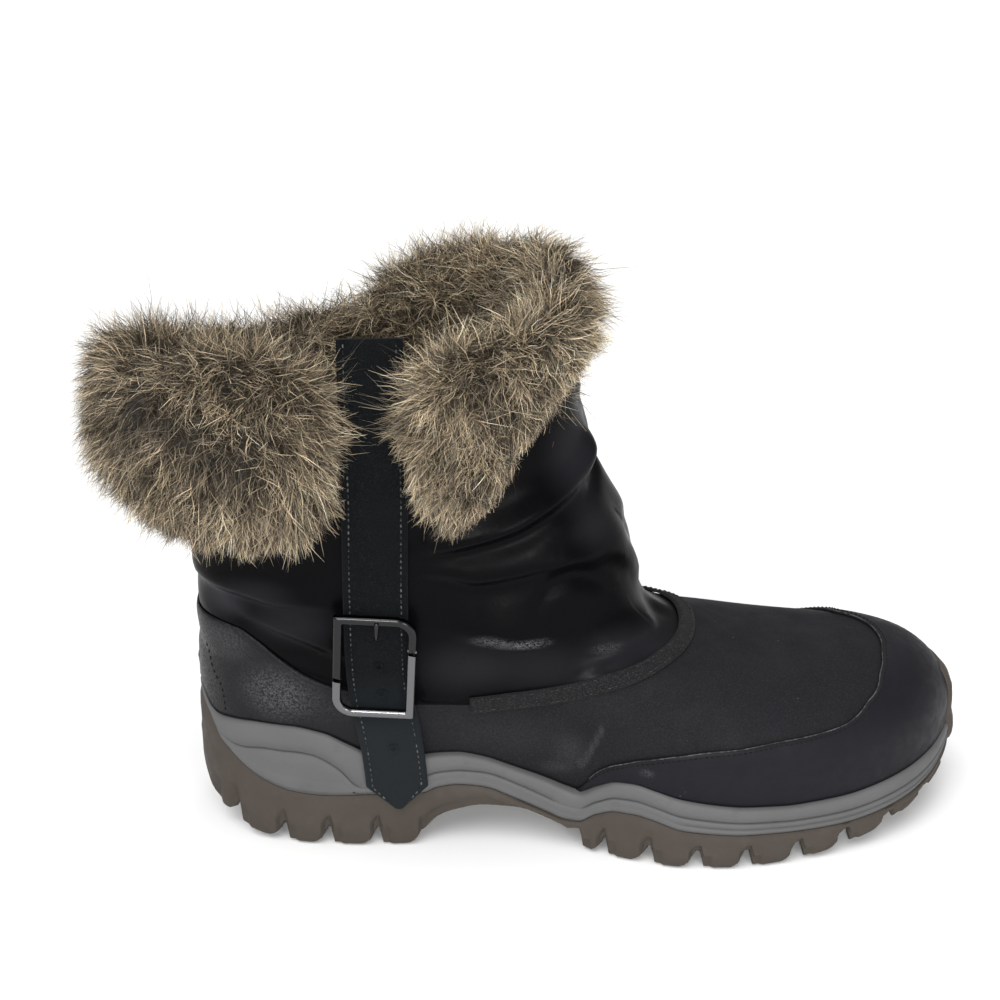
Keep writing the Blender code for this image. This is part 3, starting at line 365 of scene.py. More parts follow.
def bow(x):
    """Angle that spreads the length so that the rounded ends stay round."""
    return np.arccos(np.clip(1 - 2 * np.asarray(x, float) / SOLE_LENGTH, -1, 1))


plan_x = bow([row[0] for row in SOLE_PLAN])
plan_lateral = smooth(plan_x, [row[1] for row in SOLE_PLAN])
plan_medial = smooth(plan_x, [row[2] for row in SOLE_PLAN])
midsole_top, sole_seam, lug_floor = (column(SOLE_SIDE, k) for k in (1, 2, 3))
groove_place, groove_depth, groove_low = (column(GROOVES, k) for k in (1, 2, 3))
foot_bed = column(FOOT_BED, 1)
foot_x = bow([row[0] for row in FOOT])
ridge_height, ridge_y, widest_height = (smooth(foot_x, [row[k] for row in FOOT]) for k in (1, 2, 3))
shaft_back, shaft_front, shaft_lateral, shaft_medial = (column(SHAFT, k) for k in (1, 2, 3, 4))
loop_share, loop_heel, loop_front, loop_rise = (column(LOOPS, k) for k in (1, 2, 3, 4))
collar_height = column(COLLAR, 1)
guard_edge = column(GUARD_EDGE, 1)
counter_side = column(COUNTER_EDGE, 1)
trim_level = column(TRIM_LINE, 1)


def foot_form(x, y, z):
    """Below zero inside the last of the foot."""
    back, front = LAST_ENDS
    b = bow((x - back) * SOLE_LENGTH / (front - back))
    ry = ridge_y(b)
    edge = np.where(y < ry, ry - plan_lateral(b), plan_medial(b) - ry)
    half = edge - FEATHER_INSET + LAST_SPARE
    wide = widest_height(b)
    across = np.abs(y - ry) / np.maximum(half, LEAST_HALF)
    up = (z - wide) / np.maximum(ridge_height(b) - wide, LEAST_HALF)
    rise = np.where(z > wide, up, (wide - z) / FOOT_DEPTH)
    power_across, power_up, root = FOOT_POWERS
    r = (across ** power_across + np.abs(rise) ** power_up) ** (1 / root)
    return (r - 1) * FOOT_SCALE + PAST_END * np.maximum(0.0, np.maximum(back - x, x - front))


def shaft_form(x, y, z):
    """Below zero inside the shaft."""
    mid_x = (shaft_back(z) + shaft_front(z)) / 2
    half_x = (shaft_front(z) - shaft_back(z)) / 2
    mid_y = (shaft_lateral(z) + shaft_medial(z)) / 2
    half_y = (shaft_medial(z) - shaft_lateral(z)) / 2
    r = np.abs((x - mid_x) / half_x) ** SHAFT_POWER + np.abs((y - mid_y) / half_y) ** SHAFT_POWER
    return (r ** (1 / SHAFT_POWER) - 1) * SHAFT_SCALE


def last_form(x, y, z):
    """Foot and shaft run together, with a soft hollow at the instep."""
    a = foot_form(x, y, z)
    b = shaft_form(x, y, z)
    k = BLEND[0] + BLEND[1] * ease(*BLEND_X, x)
    h = np.clip(0.5 + 0.5 * (b - a) / k, 0, 1)
    return b * (1 - h) + a * h - k * h * (1 - h)


def spine_y(x):
    return SPINE[0] + SPINE[1] * ease(*SPINE_X, x)


def loop_height(turn, level, x):
    """Height of a loop of the upper over x; above the ankle the loops lead to the collar edge."""
    low = np.minimum(level, ANKLE_LEVEL)
    plane = loop_heel(low) + (loop_rise(low) - loop_heel(low)) * x / loop_front(low)
    feather = midsole_top(x) + SEAT
    z = feather + (plane - feather) * loop_share(low)
    up = np.clip((level - ANKLE_LEVEL) / (COLLAR_LEVEL - ANKLE_LEVEL), 0, 1)
    return z + (collar_height(np.mod(turn, 360.0)) - z) * up


def upper_point(turn, level):
    """Point of the upper's outside at a turn (degrees round the boot) and a level (loops from the sole)."""
    turn, level = np.broadcast_arrays(np.asarray(turn, float), np.asarray(level, float))
    turn = turn.ravel()
    level = level.ravel()
    up = np.clip((level - ANKLE_LEVEL) / (COLLAR_LEVEL - ANKLE_LEVEL), 0, 1)
    back = RAY_BACK[0] - RAY_BACK[1] * up
    shaft = RAY_FRONT[0] - RAY_FRONT[1] * up
    front = np.where(level <= ANKLE_LEVEL, loop_front(np.minimum(level, ANKLE_LEVEL)), shaft)
    angle = np.radians(turn)
    ox = (back + front) / 2 - RAY_SPREAD * (front - back) * np.cos(angle)
    oy = spine_y(ox)
    dx = -np.cos(angle)
    dy = -np.sin(angle)

    def form(t):
        x = ox[:, None] + t * dx[:, None]
        y = oy[:, None] + t * dy[:, None]
        return last_form(x, y, loop_height(turn[:, None], level[:, None], x))

    reach = np.linspace(0.0, RAY_REACH, 31)[None, :]
    first = np.argmax(form(reach) > 0, axis=1)
    lo = reach[0, np.maximum(first - 1, 0)][:, None]
    hi = reach[0, first][:, None]
    for _ in range(18):
        mid = (lo + hi) / 2
        far = form(mid) > 0
        hi = np.where(far, mid, hi)
        lo = np.where(far, lo, mid)
    x = ox + lo[:, 0] * dx
    y = oy + lo[:, 0] * dy
    return np.stack([x, y, loop_height(turn, level, x)], 1)


def slope_of(p):
    """Steepest rise of the last's form at the points p."""
    step = 0.6
    x, y, z = p[:, 0], p[:, 1], p[:, 2]
    return np.stack([
        last_form(x + step, y, z) - last_form(x - step, y, z),
        last_form(x, y + step, z) - last_form(x, y - step, z),
        last_form(x, y, z + step) - last_form(x, y, z - step),
    ], 1) / (2 * step)


def outward(p):
    return unit(slope_of(p))


def off_last(p):
    """Distance of the points p from the upper's outside, and the direction away from it."""
    g = slope_of(p)
    size = np.maximum(np.linalg.norm(g, axis=1), 0.2)
    return last_form(p[:, 0], p[:, 1], p[:, 2]) / size, g / size[:, None]


def settle(p):
    """Moves points onto the upper's outside."""
    for _ in range(6):
        d, n = off_last(p)
        p = p - n * d[:, None]
    return p


def skin_at(turn, height):
    """Points of the upper's outside at turns and heights."""
    lo = np.zeros(len(turn))
    hi = np.full(len(turn), float(COLLAR_LEVEL))
    for _ in range(16):
        mid = (lo + hi) / 2
        low = upper_point(turn, mid)[:, 2] < height
        lo = np.where(low, mid, lo)
        hi = np.where(low, hi, mid)
    return upper_point(turn, lo)


def plan_edge(x, side):
    """Edge of the sole at x with its outward direction in plan; side -1 lateral, 1 medial."""
    edge = plan_lateral if side < 0 else plan_medial
    b = bow(x)
    d = 0.01
    before = np.maximum(b - d, 0)
    after = np.minimum(b + d, math.pi)
    dx = SOLE_LENGTH / 2 * (np.cos(before) - np.cos(after))
    dy = edge(after) - edge(before)
    n = np.stack([dy, -dx], -1) * (1 if side < 0 else -1)
    return np.stack([x, edge(b)], -1), unit(n)


def sole_points(x, side, outset):
    """Edge points moved outward in plan, without height."""
    p, n = plan_edge(np.asarray(x, float), side)
    return p + n * np.asarray(outset, float)[..., None]


# the frame's origin in the boot's axes, from two pieces whose place is known there
side_rows = np.array(SOLE_SIDE)
rib_out = RIB * np.minimum(1.0, (side_rows[:, 1] - side_rows[:, 2]) / RIB_FULL)
midsole_low_y = sole_points(side_rows[:, 0], -1, rib_out)[:, 1].min()
SHIFT = np.array([
    INSOLE_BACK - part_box("insole")[0][0] / MM, midsole_low_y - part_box("midsole")[0][1] / MM, 0.0,
])


def grid_faces(rows, cols, closed=False, first=0):
    """Quads of a grid of vertices numbered row by row."""
    ids = first + np.arange(rows * cols).reshape(rows, cols)
    nxt = np.roll(ids, -1, axis=1) if closed else ids[:, 1:]
    here = ids if closed else ids[:, :-1]
    return np.stack([here[:-1], nxt[:-1], nxt[1:], here[1:]], -1).reshape(-1, 4)


def placed(name, data):
    """New object in the scene."""
    thing = bpy.data.objects.new(name, data)
    bpy.context.scene.collection.objects.link(thing)
    return thing


def split_edges(thing, degrees):
    """Keeps edges sharper than an angle crisp."""
    cut = thing.modifiers.new("edges", "EDGE_SPLIT")
    cut.split_angle = math.radians(degrees)


def piece(name, verts, quads, materials, pick=None, solid=True, tones=None):
    """Mesh object from points in boot millimetres and quads, riding on the boot."""
    mesh = bpy.data.meshes.new(name)
    mesh.vertices.add(len(verts))
    mesh.vertices.foreach_set("co", ((np.asarray(verts) - SHIFT) * MM).astype(np.float32).ravel())
    mesh.loops.add(quads.size)
    mesh.loops.foreach_set("vertex_index", quads.astype(np.int32).ravel())
    mesh.polygons.add(len(quads))
    mesh.polygons.foreach_set("loop_start", np.arange(0, quads.size, 4, dtype=np.int32))
    for material in materials:
        mesh.materials.append(material)
    if pick is not None:
        mesh.polygons.foreach_set("material_index", pick.astype(np.int32))
    mesh.update(calc_edges=True)
    if tones is not None:
        layer = mesh.color_attributes.new("tone", "FLOAT_COLOR", "POINT")
        layer.data.foreach_set("color", np.c_[tones, np.ones(len(tones))].astype(np.float32).ravel())
    if solid:
        work = bmesh.new()
        work.from_mesh(mesh)
        bmesh.ops.recalc_face_normals(work, faces=work.faces)
        work.to_mesh(mesh)
        work.free()
    mesh.polygons.foreach_set("use_smooth", np.ones(len(mesh.polygons), bool))
    thing = placed(name, mesh)
    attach(thing, "root")
    return thing


def node_faces(name):
    """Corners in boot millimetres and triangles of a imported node, with equal corners merged."""
    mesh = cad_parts[name].data
    mesh.calc_loop_triangles()
    co = np.empty(len(mesh.vertices) * 3)
    mesh.vertices.foreach_get("co", co)
    tri = np.empty(len(mesh.loop_triangles) * 3, np.int32)
    mesh.loop_triangles.foreach_get("vertices", tri)
    points, index = np.unique(np.round(co.reshape(-1, 3) / MM + SHIFT, 2), axis=0, return_inverse=True)
    return points, index.reshape(-1)[tri].reshape(-1, 3)


class Finish:
    """Principled material with the texture nodes that make its grain."""

    def __init__(self, name, colour, rough, **sockets):
        self.material = bpy.data.materials.new(name)
        self.material.use_nodes = True
        self.nodes = self.material.node_tree.nodes
        self.links = self.material.node_tree.links
        self.shader = self.nodes["Principled BSDF"]
        self.shader.inputs["Base Color"].default_value = (*colour, 1.0)
        self.shader.inputs["Roughness"].default_value = rough
        for socket, value in sockets.items():
            self.shader.inputs[socket.replace("_", " ")].default_value = value
        self.place = self.nodes.new("ShaderNodeTexCoord").outputs["Object"]
        self.last_bump = None

    def stretched(self, scale):
        node = self.nodes.new("ShaderNodeMapping")
        node.inputs["Scale"].default_value = scale
        self.links.new(self.place, node.inputs["Vector"])
        return node.outputs["Vector"]

    def noise(self, size, detail, rough=0.55, place=None):
        """Noise with features of a size in millimetres."""
        node = self.nodes.new("ShaderNodeTexNoise")
        node.inputs["Scale"].default_value = 1.0 / (size * MM)
        node.inputs["Detail"].default_value = detail
        node.inputs["Roughness"].default_value = rough
        self.links.new(place or self.place, node.inputs["Vector"])
        return node.outputs["Fac"]

    def cells(self, size):
        """Distance from the middles of cells of a size in millimetres."""
        node = self.nodes.new("ShaderNodeTexVoronoi")
        node.inputs["Scale"].default_value = 1.0 / (size * MM)
        self.links.new(self.place, node.inputs["Vector"])
        return node.outputs["Distance"]

    def height(self):
        """Height over the floor in metres."""
        node = self.nodes.new("ShaderNodeSeparateXYZ")
        self.links.new(self.place, node.inputs["Vector"])
        return node.outputs["Z"]

    def fit(self, source, low, high, to_low=0.0, to_high=1.0):
        """Output mapped from one range to another."""
        node = self.nodes.new("ShaderNodeMapRange")
        for socket, value in (("From Min", low), ("From Max", high), ("To Min", to_low), ("To Max", to_high)):
            node.inputs[socket].default_value = value
        self.links.new(source, node.inputs["Value"])
        return node.outputs["Result"]

    def times(self, a, b):
        node = self.nodes.new("ShaderNodeMath")
        node.operation = "MULTIPLY"
        self.links.new(a, node.inputs[0])
        self.links.new(b, node.inputs[1])
        return node.outputs[0]

    def blend(self, factor, a, b):
        """Colour between two colours, each a triple or an output."""
        node = self.nodes.new("ShaderNodeMix")
        node.data_type = "RGBA"
        self.links.new(factor, node.inputs["Factor"])
        for socket, value in ((node.inputs[6], a), (node.inputs[7], b)):
            if isinstance(value, tuple):
                socket.default_value = (*value, 1.0)
            else:
                self.links.new(value, socket)
        return node.outputs[2]

    def mottle(self, size, detail, dark, pale):
        """Colour that wanders between two colours over a size in millimetres."""
        return self.blend(self.noise(size, detail), dark, pale)

    def spot(self, centre, radii, amount):
        """Soft spot round a point of the boot, with its half sizes in millimetres."""
        shift = self.nodes.new("ShaderNodeMapping")
        shift.vector_type = "TEXTURE"
        shift.inputs["Location"].default_value = tuple((np.array(centre) - SHIFT) * MM)
        shift.inputs["Scale"].default_value = tuple(np.array(radii) * MM)
        self.links.new(self.place, shift.inputs["Vector"])
        node = self.nodes.new("ShaderNodeVectorMath")
        node.operation = "LENGTH"
        self.links.new(shift.outputs["Vector"], node.inputs[0])
        spot = self.fit(node.outputs["Value"], 1.0, 0.1, 0.0, amount)
        spot.node.interpolation_type = "SMOOTHSTEP"
        return spot

    def spots(self, tone, table, colour, grain=None):
        """Tone with the soft spots of a table in another colour, broken up by a grain if there is one."""
        for centre, radii, amount in table:
            factor = self.spot(centre, radii, amount)
            if grain is not None:
                factor = self.times(factor, grain)
            tone = self.blend(factor, tone, colour)
        return tone

    def lint(self, base, amount):
        """Base colour with a few pale specks of dust on it."""
        dot = self.fit(self.cells(4.2), 0.05, 0.03)
        here = self.fit(self.noise(26.0, 2.0), 0.56, 0.62, 0.0, amount)
        return self.blend(self.times(dot, here), base, (0.22, 0.21, 0.19))

    def colour(self, source):
        self.links.new(source, self.shader.inputs["Base Color"])

    def rough(self, size, detail, to_low, to_high, low=0.3, high=0.7):
        """Roughness that wanders between two values over a size in millimetres."""
        source = self.fit(self.noise(size, detail), low, high, to_low, to_high)
        self.links.new(source, self.shader.inputs["Roughness"])

    def bump(self, source, depth):
        """Adds relief of a depth in millimetres."""
        node = self.nodes.new("ShaderNodeBump")
        node.inputs["Distance"].default_value = depth * MM
        node.inputs["Strength"].default_value = 1.0
        self.links.new(source, node.inputs["Height"])
        if self.last_bump is not None:
            self.links.new(self.last_bump, node.inputs["Normal"])
        self.last_bump = node.outputs["Normal"]
        self.links.new(self.last_bump, self.shader.inputs["Normal"])

    def grain(self, *layers):
        """Adds relief from noises, each a size, a detail and a depth."""
        for size, detail, depth in layers:
            self.bump(self.noise(size, detail), depth)


# pale patches of the finishes: boot point, half sizes, strength; first the small highlights of the satin
SHEEN_SPOTS = (
    ((107.5, -39.0, 89.2), (8.0, 14.0, 4.0), 0.5), ((112.5, -38.5, 87.4), (9.0, 14.0, 4.0), 0.55),
    ((118.5, -38.0, 86.0), (10.0, 14.0, 3.6), 0.7), ((125.0, -37.0, 86.2), (9.0, 14.0, 3.4), 0.4),
    ((152.0, -32.0, 80.5), (9.0, 12.0, 3.4), 0.25),
)
# broad soft light on the satin
GLOW_SPOTS = (
    ((139.0, -22.0, 154.0), (18.0, 18.0, 32.0), 0.065), ((147.0, -25.0, 128.0), (15.0, 16.0, 13.0), 0.05),
    ((158.0, -30.0, 79.0), (22.0, 18.0, 13.0), 0.06), ((173.0, -22.0, 79.0), (14.0, 18.0, 14.0), 0.05),
    ((98.0, -37.0, 76.0), (22.0, 18.0, 17.0), 0.05), ((126.0, -36.0, 75.0), (34.0, 18.0, 15.0), 0.045),
    ((11.0, -24.0, 99.0), (17.0, 18.0, 9.0), 0.12), ((26.0, -33.0, 107.0), (20.0, 18.0, 8.0), 0.05),
    ((37.0, -35.0, 95.0), (24.0, 18.0, 13.0), 0.055),
)
# pale streak along the vamp's flex crease, and broad pale patches beside and behind it
VAMP_PALE_MARKS = (
    ((149.6, -42.6, 52.0), (1.6, 7.0, 4.0), 0.4), ((148.0, -42.0, 48.0), (1.7, 7.0, 4.5), 0.4),
    ((146.4, -41.4, 44.0), (1.8, 7.0, 4.5), 0.42), ((144.8, -40.8, 40.0), (2.0, 7.0, 4.5), 0.4),
    ((142.8, -40.2, 36.5), (2.6, 7.0, 4.0), 0.34), ((138.0, -39.0, 41.0), (10.0, 8.0, 12.0), 0.24),
    ((133.0, -38.5, 33.5), (9.0, 7.0, 4.0), 0.22), ((112.0, -36.0, 47.0), (36.0, 14.0, 13.0), 0.11),
)
# scratches of the toe guard
GUARD_SCUFFS = (
    ((274.4, -11.5, 54.4), (0.7, 3.0, 0.9), 0.8), ((276.0, -11.6, 52.6), (0.9, 3.0, 0.9), 0.8),
    ((264.9, -28.0, 49.4), (0.5, 3.0, 1.6), 0.5), ((264.1, -30.0, 46.2), (0.6, 3.0, 1.8), 0.8),
    ((265.4, -30.2, 40.0), (0.7, 3.0, 1.0), 0.5), ((178.2, -51.8, 30.4), (0.7, 3.0, 1.0), 0.8),
    ((179.6, -52.2, 32.2), (0.7, 3.0, 1.2), 0.8), ((166.0, -50.5, 38.5), (4.5, 4.0, 2.6), 0.25),
)
# painted highlight on the grain of the heel counter
COUNTER_HIGHLIGHTS = (
    ((31.0, -30.0, 64.0), (20.0, 18.0, 16.0), 0.62), ((15.0, -25.0, 84.0), (11.0, 16.0, 12.0), 0.3),
    ((46.0, -33.0, 60.0), (26.0, 16.0, 13.0), 0.14),
)


def satin_finish():
    f = Finish("satin", (0.0017, 0.0016, 0.0021), 0.32, Specular_IOR_Level=0.046)
    tone = f.mottle(30.0, 3.0, (0.0012, 0.0011, 0.0015), (0.0023, 0.0022, 0.0028))
    weave = f.fit(f.noise(0.6, 2.0), 0.4, 0.66)
    tone = f.spots(tone, SHEEN_SPOTS, (0.17, 0.17, 0.18), weave)
    f.colour(f.spots(tone, GLOW_SPOTS, (0.165, 0.165, 0.195)))
    f.rough(9.0, 4.0, 0.26, 0.38)
    f.bump(f.noise(0.5, 1.0, place=f.stretched((1.0, 1.0, 0.35))), 0.02)
    f.grain((7.0, 3.0, 0.12))
    return f.material


def vamp_finish():
    f = Finish("vamp_nubuck", (0.0079, 0.0076, 0.0096), 0.75, Specular_IOR_Level=0.13)
    tone = f.mottle(22.0, 4.0, (0.0058, 0.0056, 0.0069), (0.0098, 0.0095, 0.012))
    tone = f.blend(f.fit(f.noise(0.6, 2.0), 0.45, 0.75), tone, (0.0158, 0.0154, 0.0178))
    mark_grain = f.fit(f.noise(0.45, 3.0), 0.32, 0.68)
    tone = f.spots(tone, VAMP_PALE_MARKS, (0.085, 0.087, 0.09), mark_grain)
    f.colour(f.lint(tone, 0.7))
    f.rough(14.0, 3.0, 0.6, 0.78)
    f.grain((0.45, 3.0, 0.07), (6.0, 2.0, 0.12))
    return f.material


def guard_finish():
    f = Finish("guard_leather", (0.008, 0.0083, 0.0105), 0.55, Specular_IOR_Level=0.15)
    tone = f.mottle(16.0, 4.0, (0.0056, 0.0054, 0.0076), (0.009, 0.0087, 0.0122))
    scuff = f.fit(f.noise(2.6, 4.0, 0.6, f.stretched((0.35, 1.0, 1.6))), 0.66, 0.74, 0.0, 0.4)
    tone = f.blend(scuff, tone, (0.018, 0.018, 0.022))
    scratch = f.fit(f.noise(0.6, 2.0), 0.4, 0.55)
    tone = f.spots(tone, GUARD_SCUFFS, (0.12, 0.12, 0.12), scratch)
    f.colour(f.lint(tone, 0.5))
    f.rough(5.0, 4.0, 0.48, 0.64)
    f.bump(f.cells(0.7), 0.02)
    f.grain((5.0, 3.0, 0.1))
    return f.material


def counter_finish():
    f = Finish("counter_leather", (0.005, 0.0052, 0.0063), 0.45, Specular_IOR_Level=0.17)
    tone = f.mottle(12.0, 4.0, (0.004, 0.0042, 0.005), (0.0066, 0.0068, 0.0082))
    pebble = f.fit(f.noise(0.75, 3.0), 0.38, 0.74)
    # painted highlight: pale spots broken up by the pebble grain
    f.colour(f.spots(tone, COUNTER_HIGHLIGHTS, (0.125, 0.127, 0.136), pebble))
    f.rough(0.9, 3.0, 0.55, 0.32, 0.35, 0.65)
    f.bump(f.cells(0.8), 0.06)
    f.grain((1.6, 4.0, 0.09))
    return f.material


def suede_finish(name, colour, paler=None):
    """Suede; paler gives two heights in metres and how much paler the nap is below the lower one."""
    f = Finish(name, colour, 0.95, Specular_IOR_Level=0.06, Sheen_Weight=0.04, Sheen_Roughness=0.5)
    dark = tuple(0.6 * c for c in colour)
    pale = tuple(3.0 * c for c in colour)
    tone = f.mottle(5.0, 5.0, dark, colour)
    tone = f.blend(f.fit(f.noise(0.45, 2.0), 0.5, 0.78), tone, pale)
    if paler is not None:
        low, high, gain = paler
        tone = f.blend(f.fit(f.height(), low, high), tuple(gain * c for c in colour), tone)
    f.colour(f.lint(tone, 0.6))
    f.grain((0.4, 3.0, 0.14), (3.0, 3.0, 0.16))
    return f.material


def midsole_finish():
    f = Finish("midsole_foam", (0.1, 0.1, 0.101), 0.6, Specular_IOR_Level=0.2)
    tone = f.mottle(25.0, 4.0, (0.087, 0.087, 0.088), (0.113, 0.113, 0.114))
    stain = f.fit(f.noise(7.0, 5.0, 0.65), 0.58, 0.78, 0.0, 0.4)
    f.colour(f.blend(stain, tone, (0.066, 0.064, 0.06)))
    f.grain((0.6, 3.0, 0.05), (8.0, 3.0, 0.1))
    return f.material


def outsole_finish():
    f = Finish("outsole_rubber", (0.055, 0.045, 0.0375), 0.66, Specular_IOR_Level=0.2)
    tone = f.mottle(18.0, 4.0, (0.046, 0.0375, 0.031), (0.064, 0.053, 0.0445))
    dust = f.fit(f.noise(4.0, 5.0, 0.65), 0.56, 0.8, 0.0, 0.28)
    f.colour(f.blend(dust, tone, (0.095, 0.083, 0.07)))
    f.rough(6.0, 3.0, 0.55, 0.78)
    f.grain((0.8, 3.0, 0.06), (9.0, 3.0, 0.15))
    return f.material


def metal_finish(name, tone):
    f = Finish(name, (tone, tone, 1.03 * tone), 0.16, Metallic=1.0)
    f.rough(3.0, 5.0, 0.12, 0.28, 0.35, 0.75)
    f.grain((0.8, 4.0, 0.006))
    return f.material


def lining_finish():
    f = Finish("lining", (0.06, 0.047, 0.035), 0.95, Sheen_Weight=0.3)
    f.colour(f.mottle(2.0, 4.0, (0.03, 0.023, 0.017), (0.11, 0.088, 0.064)))
    f.grain((1.6, 4.0, 0.7))
    return f.material


def hide_finish():
    # dark brown mottle, painted shade: it stands for the shadow deep in the fur where the hide shows between
    # the hairs
    f = Finish("under_fur", (0.045, 0.033, 0.022), 1.0)
    f.colour(f.mottle(3.0, 4.0, (0.01, 0.0075, 0.005), (0.035, 0.026, 0.0175)))
    f.grain((1.2, 4.0, 0.8))
    return f.material


def fur_finish():
    f = Finish("fur", (0.2, 0.16, 0.11), 0.55, Specular_IOR_Level=0.35)
    tone = f.nodes.new("ShaderNodeAttribute")
    tone.attribute_name = "tone"
    f.colour(tone.outputs["Color"])
    return f.material


def thread_finish(name, dark, pale):
    f = Finish(name, (dark, dark, dark), 0.7, Specular_IOR_Level=0.2)
    paler = f.fit(f.noise(2.0, 3.0), 0.42, 0.68)
    f.colour(f.blend(paler, (dark, dark, dark), (pale, pale, 0.96 * pale)))
    f.grain((0.3, 1.0, 0.05))
    return f.material


SATIN = satin_finish()
VAMP = vamp_finish()
GUARD = guard_finish()
COUNTER = counter_finish()
TRIM_SUEDE = suede_finish("trim_suede", (0.0145, 0.0141, 0.015))
# strap suede, several times paler towards its lower end
STRAP_SUEDE = suede_finish("strap_suede", (0.0036, 0.0044, 0.005), (0.052, 0.078, 3.4))
MIDSOLE = midsole_finish()
OUTSOLE = outsole_finish()
# the buckle's one plating in two copies, both toned down and the second much darker: painted shade for the
# dark surroundings the metal reflects, the dark copy on the frame's upper half and the prong
METAL = metal_finish("lit_plating", 0.16)
SHADED_METAL = metal_finish("shaded_plating", 0.035)
LINING = lining_finish()
HIDE = hide_finish()
FUR = fur_finish()
THREAD = thread_finish("thread", 0.007, 0.042)
DARK_THREAD = thread_finish("dark_thread", 0.0025, 0.006)
PALE_THREAD = thread_finish("pale_thread", 0.022, 0.1)
STRAP_THREAD = thread_finish("strap_thread", 0.008, 0.12)


def counter_edge(turn):
    """Level of the counter's top edge; turns run from -180 to 180."""
    return counter_side(np.abs(turn))


def guard_top(turn):
    """Level of the guard's top edge, run out to the sole at both ends."""
    near_end = np.minimum(turn, sum(GUARD_TURNS) - turn)
    return guard_edge(turn) - 0.32 * (1.0 - ease(GUARD_TURNS[0], GUARD_TURNS[0] + 4.0, near_end))


def panel_level(turn):
    """Level where the satin shaft meets the vamp, under the trim and on to the counter's ends."""
    either = np.where(turn > 180.0, 360.0 - turn, turn)
    past_counter = np.where(either < TRIM_LINE[0][0], TRIM_LINE[0][1], trim_level(turn))
    return np.where(either < UNDER_COUNTER, -1.0, past_counter)


def strap_line():
    """Middle x, y, slope in plan by height of the strap's back face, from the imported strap."""
    points, _tri = node_faces("strap")
    rows = []
    for z in np.unique(np.round(points[:, 2], 1)):
        ring = points[np.abs(points[:, 2] - z) < 0.06]
        left = ring[ring[:, 0] < ring[:, 0].mean()]
        right = ring[ring[:, 0] >= ring[:, 0].mean()]
        half = (right[:, 0].max() - left[:, 0].min()) / 2
        x = (right[:, 0].max() + left[:, 0].min()) / 2
        y = (left[:, 1].max() + right[:, 1].max()) / 2
        slope = (right[:, 1].max() - left[:, 1].max()) / max(2 * half, 1.0)
        rows.append((z, x, y, slope, half))
    return np.array(rows)


STRAP_ROWS = strap_line()
strap_x, strap_y, strap_slope = (smooth(STRAP_ROWS[:, 0], STRAP_ROWS[:, k]) for k in (1, 2, 3))


def bell(v, below, above):
    """Bell curve with a width of its own on either side of zero."""
    return np.exp(-(v / np.where(v > 0, above, below)) ** 2)


def fold_relief(p, n):
    """Outward move of the shaft's cloth at the points p with directions n."""
    total = np.zeros(len(p))
    for width, depth, lift, line in FOLDS:
        rows = np.array(line, float)
        share = np.linspace(0, len(rows) - 1, 12 * len(rows))
        turn, height = (smooth(np.arange(len(rows)), rows[:, c])(share) for c in (0, 1))
        path = skin_at(turn, height)
        run = unit(np.gradient(path, axis=0))
        inside = (p > path.min(0) - FOLD_REACH) & (p < path.max(0) + FOLD_REACH)
        near = np.flatnonzero(np.all(inside, axis=1))
        if not len(near):
            continue
        q = p[near]
        k = np.argmin(((q[:, None, :] - path[None, :, :]) ** 2).sum(-1), axis=1)
        d = q - path[k]
        over = np.abs((d * run[k]).sum(1))
        rise = unit(np.cross(n[near], run[k]))
        rise = rise * np.where(rise[:, 2:] < 0, -1.0, 1.0)
        a = (d * rise).sum(1)
        window = np.sin(math.pi * np.clip(k / (len(path) - 1), 0.04, 0.96)) ** 0.6
        fade = window * np.exp(-(over / width) ** 2)
        ridge = lift * bell(a - 0.42 * width, 0.55 * width, 1.2 * width)
        trough = TROUGH_SHARE * depth * bell(a + 0.3 * width, 0.9 * width, 0.5 * width)
        total[near] += fade * (ridge - trough)
    return total


def upper_levels():
    low = np.linspace(0, ANKLE_LEVEL, 5 * ANKLE_LEVEL + 1)
    high = np.linspace(ANKLE_LEVEL, COLLAR_LEVEL, 52)[1:]
    return np.concatenate([low, high])


